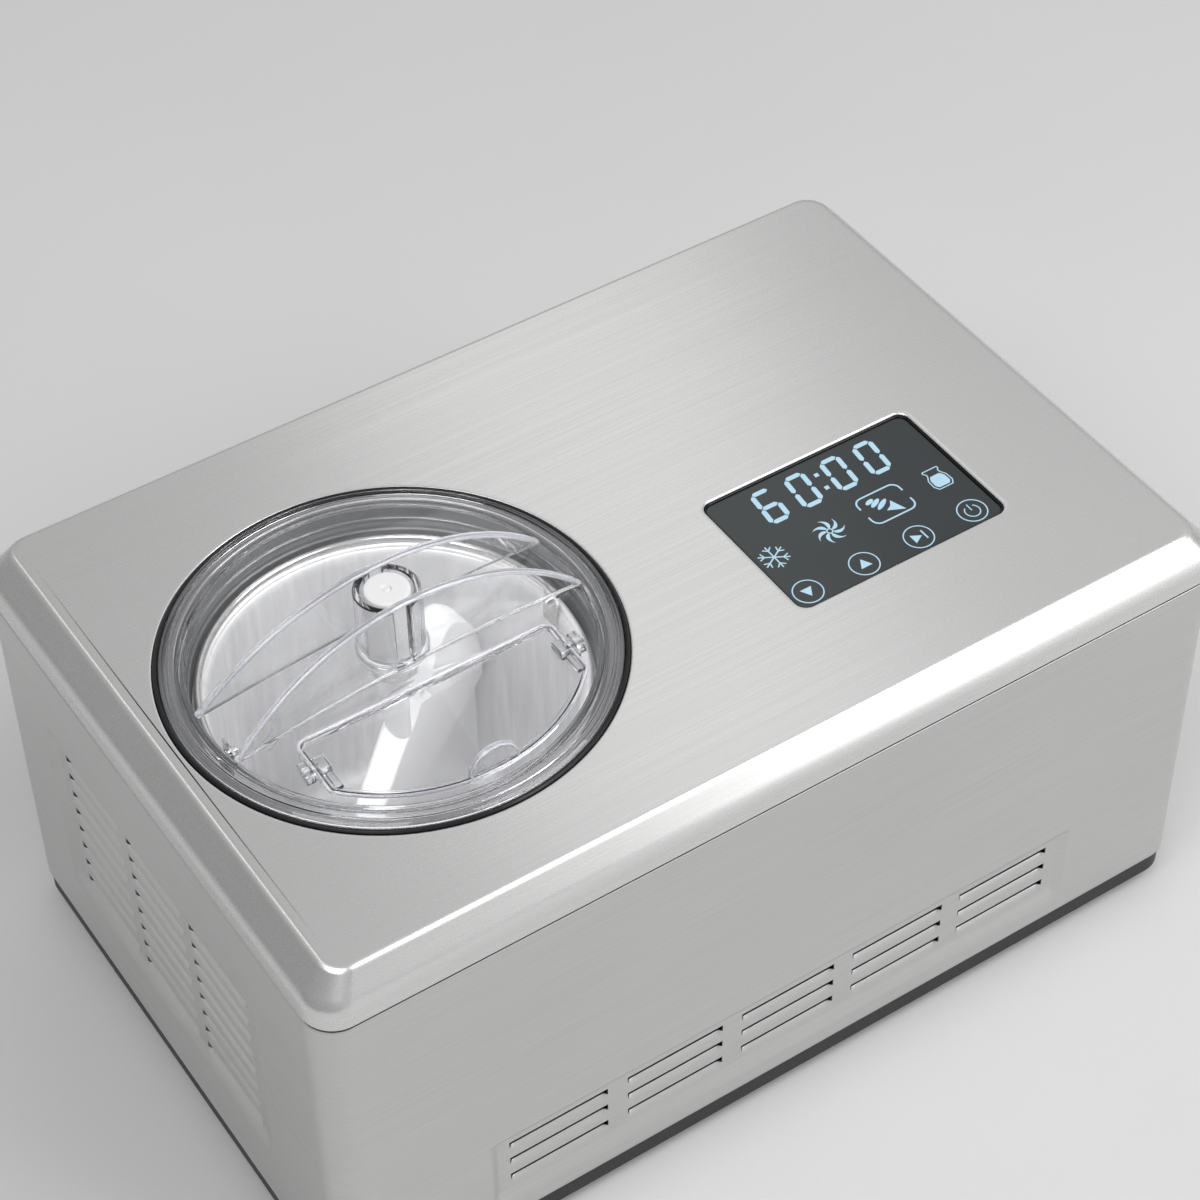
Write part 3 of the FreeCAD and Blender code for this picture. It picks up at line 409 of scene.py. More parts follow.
def light_mat():
    m, nt, out = new_mat("display_light")
    tc = nt.nodes.new("ShaderNodeTexCoord")
    w = noise(nt, tc.outputs["Object"], (160, 160, 160), 1.0, 2.0, 0.5)
    e = N(nt, "ShaderNodeEmission", Strength=0.92)
    L(nt, ramp(nt, w, [(0.3, (0.53, 0.79, 0.96)), (0.7, (0.58, 0.83, 0.98))]), e.inputs["Color"])
    L(nt, e.outputs[0], out.inputs["Surface"])
    return m


M_LIGHT = light_mat()

# ------------------------------------------------------------------ top cover
def prof_pts():
    """Outer profile of the cover: (offset in x, offset in y, z) from the lower hem up to the flat top."""
    ox, oy = HX - THX, HY - THY
    P = [(0.9, 0.9, 190.0), (0.45, 0.45, 190.05), (0.12, 0.12, 190.25), (0.0, 0.0, 190.7), (0.0, 0.0, 194.5)]
    a, b, c, d = (0, 0, 197.6), (0, 0, 200.7), None, None
    t1 = 0.30
    e1 = (ox * t1, oy * t1, 200.7 + 12.3 * t1)
    for k in range(9):
        t = k / 8.0
        q = [(1 - t) ** 2 * a[i] + 2 * t * (1 - t) * b[i] + t * t * e1[i] for i in range(3)]
        P.append(tuple(q))
    t2 = 0.86
    s2 = (ox * t2, oy * t2, 200.7 + 12.3 * t2)
    crease = (ox, oy, TZ)
    e2 = (ox + 2.0, oy + 1.8, TZ)
    for k in range(11):
        t = k / 10.0
        q = [(1 - t) ** 2 * s2[i] + 2 * t * (1 - t) * crease[i] + t * t * e2[i] for i in range(3)]
        P.append(tuple(q))
    P.append((ox + 4.6, oy + 4.2, TZ))
    return P


def cover():
    P = prof_pts()
    verts, faces, n = [], [], 0
    loops = []
    for (ox, oy, z) in P:
        f = max(0.0, min(1.0, ox / (HX - THX)))
        r = 14.0 - 4.5 * f
        lp = rrect(HX - ox, HY - oy, r, n=14)
        loops.append([(x, y, z) for (x, y) in lp])
    n = len(loops[0])
    for lp in loops:
        verts += lp
    for j in range(len(loops) - 1):
        for i in range(n):
            i1 = (i + 1) % n
            faces.append((j * n + i, j * n + i1, (j + 1) * n + i1, (j + 1) * n + i))
    last = loops[-1]
    outer = [(p[0], p[1]) for p in last]
    ns = 160
    R0 = 93.05
    RF = 2.4
    hole = [(AX + (R0 + RF) * math.cos(2 * math.pi * k / ns), AY + (R0 + RF) * math.sin(2 * math.pi * k / ns)) for k in range(ns)]
    wcx, wcy, whx, why = 94.95, -42.95, 51.45, 35.65
    win = rrect(whx + RF, why + RF, 5.0 + RF, wcx, wcy, 10)
    pts = [Vector(p) for p in outer + hole + win]
    edges, b = [], 0
    for lp in (outer, hole, win):
        edges += [(b + i, b + (i + 1) % len(lp)) for i in range(len(lp))]
        b += len(lp)
    vs, es, fs, *_ = geometry.delaunay_2d_cdt(pts, edges, [], 0, 1e-5)
    base = len(verts)
    verts += [(v[0], v[1], TZ) for v in vs]

    def inwin(c):
        dx, dy = abs(c[0] - wcx) - (whx - 5.0), abs(c[1] - wcy) - (why - 5.0)
        if dx > 0 and dy > 0:
            return math.hypot(dx, dy) < 5.0 + RF - 0.02
        return dx < 5.0 + RF - 0.01 and dy < 5.0 + RF - 0.01
    for f in fs:
        c = (sum(vs[i][0] for i in f) / 3, sum(vs[i][1] for i in f) / 3)
        if math.hypot(c[0] - AX, c[1] - AY) < R0 + RF - 0.03 or inwin(c):
            continue
        faces.append(tuple(base + i for i in f))
    # the sheet's edge turns down at the lid opening and at the window
    def skirt(loop_fn, steps):
        prev = None
        for (off, z) in steps:
            lp = loop_fn(off)
            b0 = len(verts)
            verts.extend([(x, y, z) for (x, y) in lp])
            if prev is not None:
                m = len(lp)
                for i in range(m):
                    i1 = (i + 1) % m
                    faces.append((prev + i, prev + i1, b0 + i1, b0 + i))
            prev = b0
    skirt(lambda o: [(AX + (R0 + o) * math.cos(2 * math.pi * k / ns), AY + (R0 + o) * math.sin(2 * math.pi * k / ns)) for k in range(ns)],
          [(RF, TZ), (0.9, TZ), (0.45, TZ - 0.08), (0.13, TZ - 0.35), (0.0, TZ - 0.9), (0.0, TZ - 4.0)])
    skirt(lambda o: rrect(whx + o, why + o, 5.0 + o, wcx, wcy, 10),
          [(RF, TZ), (1.0, TZ), (0.6, TZ - 0.1), (0.3, TZ - 0.4), (0.12, TZ - 0.9), (0.1, TZ - 3.0)])
    return make("top_cover_skin", verts, faces, M_TOP, "housing", ("top_cover",), 60.0, merge=0.01)


cover()

# ------------------------------------------------------------------ body wrap with pressed louvres
FRONT_ROWS = [64.5, 54.0, 43.2]
FRONT_COLS = [-112.5, -56.25, 0.0, 56.25, 112.2]
SIDE_ROWS = [138.0, 127.2, 116.3, 105.4, 94.5, 83.6, 72.7, 61.8]
SIDE_COLS = [58.2, 5.2, -47.8]
HALF_L = 23.35
GAP, SCOOP_D, SCOOP_H = 3.6, 1.4, 4.6


def smooth(t):
    t = max(0.0, min(1.0, t))
    return t * t * (3 - 2 * t)


def field(u, z, u0, u1, z0, z1, s_end, s_bot, s_top, depth):
    a = smooth((u - u0) / s_end) * smooth((u1 - u) / s_end)
    return depth * a * smooth((z - z0) / s_bot) * smooth((z1 - z) / s_top)


def scoop(u, z, rows, cols, end=1.8, top=SCOOP_D):
    for c in cols:
        du = HALF_L - abs(u - c)
        if du <= 0:
            continue
        for zs in rows:
            if zs - GAP - SCOOP_H - 0.01 < z < zs - GAP + 0.02:
                s = min(1.0, du / 5.0)
                hh = SCOOP_H * math.sqrt(max(0.0, 1 - (1 - s) ** 2)) + 1e-6
                t = (zs - GAP - z) / hh
                if t >= 1:
                    return 0.0
                return top * smooth(du / end) * (1 - max(0, t)) ** 2.0
    return 0.0


def wrap():
    # z lines
    hard = [18.2, 188.9, 34.0, 176.0]
    soft = [18.35, 18.8, 188.2, 188.65, 20, 23, 26]
    for rows in (FRONT_ROWS, SIDE_ROWS):
        for zs in rows:
            hard += [zs, zs - GAP]
            soft += [zs + 0.5, zs - GAP - 0.35, zs - GAP - 0.75, zs - GAP - 1.2, zs - GAP - 1.8, zs - GAP - 2.5, zs - GAP - 3.4, zs - GAP - SCOOP_H, zs - GAP - SCOOP_H - 0.4]
    soft += [26 + i * 1.25 for i in range(9)] + [66, 67.5, 68.3, 69.1, 69.9, 70.7, 71.5, 72.3]
    soft += [49 + i * 1.4 for i in range(8)] + [140 + i * 1.2 for i in range(8)]
    soft += [60 + i * 8 for i in range(16)]
    zs = sorted(set(hard))
    for z in sorted(soft):
        if min(abs(z - h) for h in zs) > 0.28:
            zs.append(z)
    zs.sort()

    def ulines(cols, u0, u1, s_end, lim):
        h = []
        for c in cols:
            h += [c - HALF_L, c + HALF_L]
        sft = []
        for c in cols:
            for d in (0.5, 1.0, 1.6, 2.4, 3.4, 5.0):
                sft += [c - HALF_L + d, c + HALF_L - d]
            sft += [c - HALF_L - 0.4, c + HALF_L + 0.4, c, c - 12, c + 12]
        for k in range(9):
            sft += [u0 + s_end * k / 8.0, u1 - s_end * k / 8.0]
        k = -lim
        while k <= lim:
            sft.append(k); k += 9.0
        sft.append(lim)
        out = [x for x in h]
        for x in sorted(sft):
            if abs(x) <= lim + 1e-6 and min(abs(x - y) for y in out) > 0.22:
                out.append(x)
        return sorted(out)

    xl, yl = HX - RC, HY - RC
    fx = ulines(FRONT_COLS, -146.5, 146.5, 7.5, xl)
    if fx[0] > -xl: fx = [-xl] + fx
    if fx[-1] < xl: fx = fx + [xl]
    sy = ulines(SIDE_COLS, -83.0, 94.5, 9.0, yl)
    if sy[0] > -yl: sy = [-yl] + sy
    if sy[-1] < yl: sy = sy + [yl]
    bx = sorted(set([-xl, -190.0, 190.0, xl] + [-180 + 20 * k for k in range(19)]))
    # perimeter columns: (x, y, nx, ny, face, u)
    cols = []
    for x in fx:
        cols.append((x, -HY, 0, 1, "f", x))
    for k in range(1, 12):
        a = math.radians(-90 + 90.0 * k / 12)
        cols.append((xl + RC * math.cos(a), -yl + RC * math.sin(a), -math.cos(a), -math.sin(a), "c", 0))
    for y in sy:
        cols.append((HX, y, -1, 0, "s", y))
    for k in range(1, 12):
        a = math.radians(90.0 * k / 12)
        cols.append((xl + RC * math.cos(a), yl + RC * math.sin(a), -math.cos(a), -math.sin(a), "c", 0))
    for x in reversed(bx):
        cols.append((x, HY, 0, -1, "b", x))
    for k in range(1, 12):
        a = math.radians(90 + 90.0 * k / 12)
        cols.append((-xl + RC * math.cos(a), yl + RC * math.sin(a), -math.cos(a), -math.sin(a), "c", 0))
    for y in reversed(sy):
        cols.append((-HX, y, 1, 0, "s", y))
    for k in range(1, 12):
        a = math.radians(180 + 90.0 * k / 12)
        cols.append((-xl + RC * math.cos(a), -yl + RC * math.sin(a), -math.cos(a), -math.sin(a), "c", 0))
    verts, faces = [], []
    for z in zs:
        hem = 0.0
        if z > 188.1: hem = 0.55 * ((z - 188.1) / 0.8) ** 2
        if z < 18.9: hem = 0.5 * ((18.9 - z) / 0.7) ** 2
        for (x, y, nx, ny, f, u) in cols:
            d = hem
            if f == "f":
                d += field(u, z, -146.5, 146.5, 26.0, 71.5, 6.0, 10.0, 2.0, 2.4) + scoop(u, z, FRONT_ROWS, FRONT_COLS)
            elif f == "s":
                d += field(u, z, -83.0, 94.5, 49.0, 150.0, 9.0, 9.0, 9.0, 2.4) + scoop(u, z, SIDE_ROWS, SIDE_COLS, 3.4, 1.4)
            verts.append((x + nx * d, y + ny * d, z))
    n = len(cols)

    def in_slot(u, z, rows, cs):
        return any(abs(u - c) < HALF_L for c in cs) and any(r - GAP < z < r for r in rows)
    for j in range(len(zs) - 1):
        zc = (zs[j] + zs[j + 1]) / 2
        for i in range(n):
            i1 = (i + 1) % n
            a, b = cols[i], cols[i1]
            if a[4] == b[4] and a[4] != "c":
                uc = (a[5] + b[5]) / 2
                if a[4] == "f" and in_slot(uc, zc, FRONT_ROWS, FRONT_COLS): continue
                if a[4] == "s" and in_slot(uc, zc, SIDE_ROWS, SIDE_COLS): continue
                if a[4] == "b" and abs(uc) < 190 and 34 < zc < 176: continue
            faces.append((j * n + i, j * n + i1, (j + 1) * n + i1, (j + 1) * n + i))
    ob = make("body_wrap_skin", verts, faces, M_BODY, "housing", ("body_wrap",), 52.0)
    # normals point outwards so that the sheet grows inwards
    me = ob.data
    p = min(me.polygons, key=lambda q: q.center.y)
    if p.normal.y > 0:
        me.flip_normals()
    m = ob.modifiers.new("sheet", "SOLIDIFY")
    m.thickness, m.offset = 0.8 * S, -1.0
    return bake(ob, 50.0)


wrap()

# dark strip behind the seam between the cover and the wrap
sl = lambda o, z: [(x, y, z) for (x, y) in rrect(HX - o, HY - o, RC - o, n=10)]
rings("seam_strip", [sl(1.5, 187.2), sl(1.45, 187.6), sl(1.45, 191.6), sl(1.6, 191.9), sl(2.1, 191.9), sl(2.2, 191.6), sl(2.2, 187.4), sl(2.0, 187.2), sl(1.5, 187.2)], M_RUBBER, "housing", False, False, (), 40)

# ------------------------------------------------------------------ bowl well: trim ring, collar, bowl
lathe("well_trim_ring_form", fillet2([(90.95, 208.4), (92.95, 208.4), (92.95, 213.3), (92.3, 213.95), (91.3, 213.85), (90.95, 213.2)], 0.25, 3), M_TRIM, "housing", ("well_trim_ring",))
lathe("well_collar_form", fillet2([(79.8, 190.2), (82.4, 190.2), (82.4, 201.5), (86.5, 206.5), (90.7, 206.5), (90.7, 211.8), (89.95, 211.8), (89.95, 209.8), (84.2, 209.8), (84.2, 204.8), (82.4, 204.0), (82.2, 203.0), (80.9, 202.6), (80.6, 201.0), (79.8, 200.4)], 0.3, 3), M_COLLAR, "housing", ("well_collar",))
lathe("bowl_form", [(6.2, 64.0), (64.0, 64.0), (67.4, 64.5), (70.5, 66.4), (72.8, 69.2), (74.3, 73.0), (74.6, 76.0), (74.6, 192.6), (75.1, 193.2)]
      + [(76.6 + 1.75 * math.cos(math.radians(a)), 195.25 + 1.75 * math.sin(math.radians(a))) for a in range(-120, 181, 15)]
      + [(74.4, 194.9), (73.9, 193.8), (73.5, 192.4), (73.4, 190.0), (73.4, 76.5), (73.0, 73.2), (71.6, 69.9), (69.4, 67.3), (66.6, 65.7), (63.6, 65.2), (7.6, 65.2), (7.4, 65.4), (7.4, 89.6), (7.0, 90.0), (6.5, 90.0), (6.2, 89.6)],
      M_BOWL, "bowl", ("bowl",))
lathe("lid_seal_form", fillet2([(85.0, 210.1), (89.4, 210.1), (89.4, 211.1), (88.6, 212.1), (87.6, 211.3), (86.6, 212.1), (85.0, 211.4)], 0.25, 3), M_SEAL, "lid_carrier", ("lid_seal",))

# ------------------------------------------------------------------ lid
def dome_z(r):
    return 219.5 - 4.5 * (r / 82.0) ** 2


def zdome(x, y):
    return dome_z(math.hypot(x - AX, y - AY))


def rotz(p, deg, cx=AX, cy=AY):
    a = math.radians(deg)
    dx, dy = p[0] - cx, p[1] - cy
    return (cx + dx * math.cos(a) - dy * math.sin(a), cy + dx * math.sin(a) + dy * math.cos(a)) + tuple(p[2:])


def d_outline(off, n=40):
    """The filling hatch's outline: straight at the back, cheeks, and a curved front."""
    R = 76.5 - off
    hw, yb = 56.5 - off, -25.5 - off
    a0, a1 = math.acos(hw / R), math.acos(-hw / R)
    pts = [(hw, yb), (-hw, yb)]
    arc = [(R * math.cos(t), -R * math.sin(t)) for t in [a1 + (a0 - a1) * k / n for k in range(n + 1)]]
    pts += arc
    rad = [3.0, 3.0] + [2.5] + [0] * (len(arc) - 2) + [2.5]
    out = fillet2(pts, rad, 4)
    return [(AX + x, AY + y) for (x, y) in out]


def circle(r, n=160):
    return [(AX + r * math.cos(2 * math.pi * k / n), AY + r * math.sin(2 * math.pi * k / n)) for k in range(n)]


def lattice(step, test):
    out, k = [], int(100 / step) + 2
    for i in range(-k, k + 1):
        for j in range(-k, k + 1):
            x, y = AX + (i + 0.5 * (j % 2)) * step, AY + j * step * 0.866
            if test(x, y):
                out.append((x, y))
    return out


def in_d(x, y, off):
    rx, ry = x - AX, y - AY
    return ry < -25.5 - off and abs(rx) < 56.5 - off and math.hypot(rx, ry) < 76.5 - off


hub_hole = circle(10.5, 48)
plate("lid_dome", circle(81.2), [d_outline(0.0), hub_hole], zdome,
      lattice(6.5, lambda x, y: 12.6 < math.hypot(x - AX, y - AY) < 79 and not in_d(x, y, -2.2)), M_CLEAR, "lid", 2.4, ("lid",), 50)
RIM = fillet2([(80.6, 215.15), (83.0, 215.0), (83.2, 214.1), (84.6, 214.1), (84.8, 214.8), (86.6, 214.8), (86.9, 214.0), (87.8, 214.0), (88.0, 215.1), (89.4, 215.1), (90.55, 214.3), (90.55, 212.4), (82.9, 212.4), (82.6, 205.7), (80.6, 205.7), (80.6, 212.0)], 0.32, 3)
lathe("lid_rim", RIM, M_RIM, "lid", angle=50)
# raised lip round the hatch opening
def strip(name, loop, z0fn, h, w, mat, body, inward=1.0):
    """A low wall following a closed loop on the dome."""
    n = len(loop)
    verts, faces = [], []
    cx, cy = sum(p[0] for p in loop) / n, sum(p[1] for p in loop) / n
    prof = [(0, -0.3), (0, h * 0.8), (w * 0.25, h), (w * 0.75, h), (w, h * 0.8), (w, -0.3)]
    for i in range(n):
        p0, p, p1 = Vector(loop[i - 1]), Vector(loop[i]), Vector(loop[(i + 1) % n])
        t = (p1 - p0).normalized()
        nv = Vector((t.y, -t.x))
        if nv.dot(p - Vector((cx, cy))) < 0: nv = -nv
        for (o, z) in prof:
            q = p + nv * o * inward
            verts.append((q.x, q.y, z0fn(q.x, q.y) + z))
    m = len(prof)
    for i in range(n):
        i1 = (i + 1) % n
        for j in range(m):
            j1 = (j + 1) % m
            faces.append((i * m + j, i1 * m + j, i1 * m + j1, i * m + j1))
    return make(name, verts, faces, mat, body, (), 45)


strip("lid_hatch_lip", d_outline(-0.05), zdome, 0.9, 1.1, M_EDGE, "lid")

# hub: two C-shaped posts with thickened ends
def cpost(name, a0, a1):
    ro, ri, n = 14.0, 10.45, 26
    outer, inner = [], []
    for k in range(n + 1):
        t = k / n
        a = math.radians(a0 + (a1 - a0) * t)
        e = min(t, 1 - t) * (a1 - a0)
        swell = 0.9 * math.exp(-((e - 7) / 7.0) ** 2)
        outer.append(((ro - 0.7 + swell) * math.cos(a), (ro - 0.7 + swell) * math.sin(a)))
        inner.append((ri * math.cos(a), ri * math.sin(a)))
    poly = [(AX + x, AY + y) for (x, y) in outer + inner[::-1]]
    return extrude(name, poly, lambda x, y: (x, y, 217.2), lambda x, y: (x, y, 248.0), M_RIM, "lid", (), 0.55, 3)


cpost("lid_hub_post_left", 97, 249.5)
cpost("lid_hub_post_right", -82.5, 70)
lathe("lid_hub_collar", fillet2([(12.9, 214.4), (14.6, 214.4), (14.6, 218.4), (14.2, 220.6), (13.4, 221.6), (12.9, 221.0)], 0.3, 3), M_RIM, "lid", angle=50, segs=96)


# grip: two arched ribs that lean in towards the hub
def rib(name, side):
    zt0, zb0 = 215.6, 213.4
    x1 = 80.0
    n = 48
    top, bot = [], []
    # circle through (+-x1, zt0) and (0, 250.4)
    h = 250.4 - zt0
    R = (x1 * x1 + h * h) / (2 * h)
    zc = 250.4 - R
    for k in range(n + 1):
        x = -x1 + 2 * x1 * k / n
        top.append((x, zc + math.sqrt(R * R - x * x)))
        bot.append((x, dome_z(min(82.0, math.hypot(x, 14.0))) - 1.6))
    poly = top + bot[::-1]
    lean = math.radians(4.6) * side

    def place(x, z, o):
        # thickness along y, then lean about X at z = 217, then out to the rib's line, then the grip's own turn
        dy, dz = o, z - 217.0
        y2 = dy * math.cos(lean) - dz * math.sin(lean)
        z2 = dy * math.sin(lean) + dz * math.cos(lean)
        q = rotz((AX + x, AY + side * 14.2 + y2, 217.0 + z2), 2.7)
        return q
    ob = extrude(name, poly, lambda x, z: place(x, z, -1.15), lambda x, z: place(x, z, 1.15), M_CLEAR, "lid", (), 0.5, 3)
    # a bead along the arch's edge, where the moulding is thicker
    bead = []
    m = 10
    verts, faces = [], []
    for i, (x, z) in enumerate(top):
        tx, tz = 1.0, -x / math.sqrt(R * R - x * x)
        l = math.hypot(tx, tz); nx, nz = -tz / l, tx / l
        for j in range(m):
            a = 2 * math.pi * j / m
            o, e = 1.7 * math.cos(a), 1.15 * math.sin(a)
            verts.append(place(x + nx * (e - 0.9), z + nz * (e - 0.9), o))
    for i in range(len(top) - 1):
        for j in range(m):
            j1 = (j + 1) % m
            faces.append((i * m + j, (i + 1) * m + j, (i + 1) * m + j1, i * m + j1))
    faces.append(tuple(range(m))[::-1]); faces.append(tuple((len(top) - 1) * m + j for j in range(m)))
    make(name + "_bead", verts, faces, M_EDGE, "lid", (), 60)
    return ob


rib("lid_grip_rib_back", 1)
rib("lid_grip_rib_front", -1)


# hinge knuckles
def block(name, x0, x1, y0, y1, z0, z1, mat, body, r=1.2, bevel=0.35):
    poly = fillet2([(y0, z0), (y1, z0), (y1, z1), (y0, z1)], [0, 0, r, r], 4)
    return extrude(name, poly, lambda y, z: (x0, y, z), lambda y, z: (x1, y, z), mat, body, (), bevel, 2)


PY, PZ = AY - 39.0, 216.6
for s, nm in ((-1, "left"), (1, "right")):
    cx = AX + s * 60.2
    block("lid_knuckle_%s" % nm, cx - 2.0, cx + 2.0, PY - 4.6, PY + 4.6, 213.8, 219.5, M_RIM, "lid", 2.4)
    block("lid_hinge_cheek_%s" % nm, AX + s * 57.6 - 0.5, AX + s * 57.6 + 0.5, PY - 7.0, PY + 9.5, 215.0, 218.1, M_RIM, "lid", 0.8, 0.2)

# hatch
hd = d_outline(0.6)
plate("hatch_plate", hd, [], zdome, lattice(6.5, lambda x, y: in_d(x, y, 2.6)), M_CLEAR, "hatch", 2.4, ("hatch",), 50)
strip("hatch_edge_rim", d_outline(0.65), zdome, 0.7, 1.2, M_RIM, "hatch", -1.0)
for s, nm in ((-1, "left"), (1, "right")):
    cx = AX + s * 53.4
    block("hatch_knuckle_%s" % nm, cx - 2.4, cx + 2.4, PY - 4.2, PY + 4.2, 214.0, 219.2, M_RIM, "hatch", 2.2)
    n = 20
    poly = [(PY + 1.5 * math.cos(2 * math.pi * k / n), PZ + 1.5 * math.sin(2 * math.pi * k / n)) for k in range(n)]
    extrude("hatch_pin_%s" % nm, poly, lambda y, z, c=AX + s * 55.0: (c, y, z), lambda y, z, c=AX + s * 62.0: (c, y, z), M_RIM, "hatch")
    # stiffening step in front of each knuckle
    block("hatch_step_%s" % nm, cx - 1.4, cx + 1.4, PY - 14.0, PY - 4.6, 216.0, 218.0, M_RIM, "hatch", 0.8)
tabp = [(11.0 * math.cos(math.radians(a)), 11.2 * math.sin(math.radians(a))) for a in range(0, 181, 6)] + [(-11.0, -2.4), (11.0, -2.4)]
TX, TY = AX + 0.5, AY - 74.3
extrude("hatch_thumb_tab", tabp, lambda x, z: (TX + x, TY - 1.1, 216.0 + z), lambda x, z: (TX + x, TY + 1.1, 216.0 + z), M_CLEAR, "hatch", (), 0.45, 3)
rimv, rimf, m = [], [], 8
arcp = [(a, 10.9) for a in range(0, 181, 5)]
for (a, r) in arcp:
    ca, sa = math.cos(math.radians(a)), math.sin(math.radians(a))
    for j in range(m):
        t = 2 * math.pi * j / m
        rr = r - 0.7 + 0.8 * math.sin(t)
        rimv.append((TX + rr * ca, TY + 1.3 * math.cos(t), 216.0 + rr * sa))
for i in range(len(arcp) - 1):
    for j in range(m):
        j1 = (j + 1) % m
        rimf.append((i * m + j, (i + 1) * m + j, (i + 1) * m + j1, i * m + j1))
rimf.append(tuple(range(m))[::-1]); rimf.append(tuple((len(arcp) - 1) * m + j for j in range(m)))
make("hatch_tab_rim", rimv, rimf, M_EDGE, "hatch", (), 60)


# moulded marks: a small arrow at the left and a bar at the back
def polyline_bar(name, pts, w, z0fn, h, mat, body, closed=False):
    """A flat raised line of width w along points."""
    n = len(pts)
    lo, hi = [], []
    for i in range(n):
        p = Vector(pts[i])
        a = Vector(pts[i - 1]) if (i or closed) else p
        b = Vector(pts[(i + 1) % n]) if (i < n - 1 or closed) else p
        d0, d1 = (p - a), (b - p)
        if d0.length < 1e-9: d0 = d1
        if d1.length < 1e-9: d1 = d0
        d0.normalize(); d1.normalize()
        t = (d0 + d1)
        if t.length < 1e-6: t = d0
        t.normalize()
        nv = Vector((-t.y, t.x))
        k = 1.0 / max(0.35, nv.dot(Vector((-d0.y, d0.x))))
        lo.append(p - nv * w / 2 * k); hi.append(p + nv * w / 2 * k)
    verts, faces = [], []
    for i in range(n):
        for q in (lo[i], hi[i]):
            z = z0fn(q.x, q.y)
            verts.append((q.x, q.y, z)); verts.append((q.x, q.y, z + h))
    cnt = n if closed else n - 1
    for i in range(cnt):
        a, b = 4 * i, 4 * ((i + 1) % n)
        faces += [(a + 1, b + 1, b + 3, a + 3), (a, a + 2, b + 2, b), (a, b, b + 1, a + 1), (a + 2, a + 3, b + 3, b + 2)]
    if not closed:
        e = 4 * (n - 1)
        faces += [(0, 1, 3, 2), (e, e + 2, e + 3, e + 1)]
    return verts, faces


def bars(name, items, mat, body, zfn, h):
    """Joins several flat lines or filled shapes into one piece."""
    V_, F_ = [], []
    for it in items:
        if it[0] == "line":
            v, f = polyline_bar("", it[1], it[2], zfn, h, mat, body, it[3] if len(it) > 3 else False)
        else:
            pts = it[1]
            n = len(pts)
            v = [(x, y, zfn(x, y)) for (x, y) in pts] + [(x, y, zfn(x, y) + h) for (x, y) in pts]
            f = [tuple(range(n))[::-1], tuple(range(n, 2 * n))] + [(i, (i + 1) % n, n + (i + 1) % n, n + i) for i in range(n)]
        b = len(V_)
        V_ += v
        F_ += [tuple(i + b for i in q) for q in f]
    return make(name, V_, F_, mat, body, (), 30)


lmz = lambda x, y: zdome(x, y) - 0.05
bars("lid_moulded_marks", [("line", [(AX - 66, AY - 21), (AX - 61, AY - 18.5), (AX - 66, AY - 16)], 0.7), ("line", [(AX - 66, AY - 15.0), (AX - 60.5, AY - 12.0)], 0.7),
                           ("line", [(AX - 34, AY + 72), (AX - 22, AY + 76.5), (AX - 22.8, AY + 78.6), (AX - 34.8, AY + 74.1)], 0.6, True)], M_RIM, "lid", lambda x, y: zdome(x, y) - 0.05, 0.35)

# ------------------------------------------------------------------ paddle
VANE_A, VANE_W = 35.5, 5.4
RAIL = [(71.0, 146.0, 143.0, 129.0), (69.6, 158.0, 152.0, 129.0), (66.0, 170.0, 162.0, 129.0), (60.0, 181.0, 172.0, 129.0), (52.0, 190.5, 181.5, 129.0), (45.0, 197.0, 187.5, 129.0),
        (38.0, 201.5, 189.0, 129.0), (30.0, 203.5, 187.0, 129.0), (22.0, 199.0, 180.5, 129.0), (13.0, 188.0, 172.5, 129.0), (5.0, 179.0, 168.0, 129.0), (-5.0, 174.0, 164.5, 129.0),
        (-14.0, 168.5, 160.0, 128.0), (-28.0, 160.5, 152.0, 124.0), (-45.0, 150.0, 142.0, 116.0), (-60.0, 139.5, 132.5, 108.0), (-70.0, 131.0, 125.0, 100.0)]


def spline(rows, per):
    """Smooth rows between the given ones (Catmull-Rom)."""
    out = []
    for i in range(len(rows) - 1):
        p0, p1, p2, p3 = rows[max(0, i - 1)], rows[i], rows[i + 1], rows[min(len(rows) - 1, i + 2)]
        for k in range(per):
            t = k / per
            out.append(tuple(0.5 * (2 * b + (c - a) * t + (2 * a - 5 * b + 4 * c - d) * t * t + (3 * b - a - 3 * c + d) * t ** 3) for a, b, c, d in zip(p0, p1, p2, p3)))
    out.append(rows[-1])
    return out


def turn(x, y, z):
    q = rotz((AX + x, AY + y), VANE_A)
    return (q[0], q[1], z)


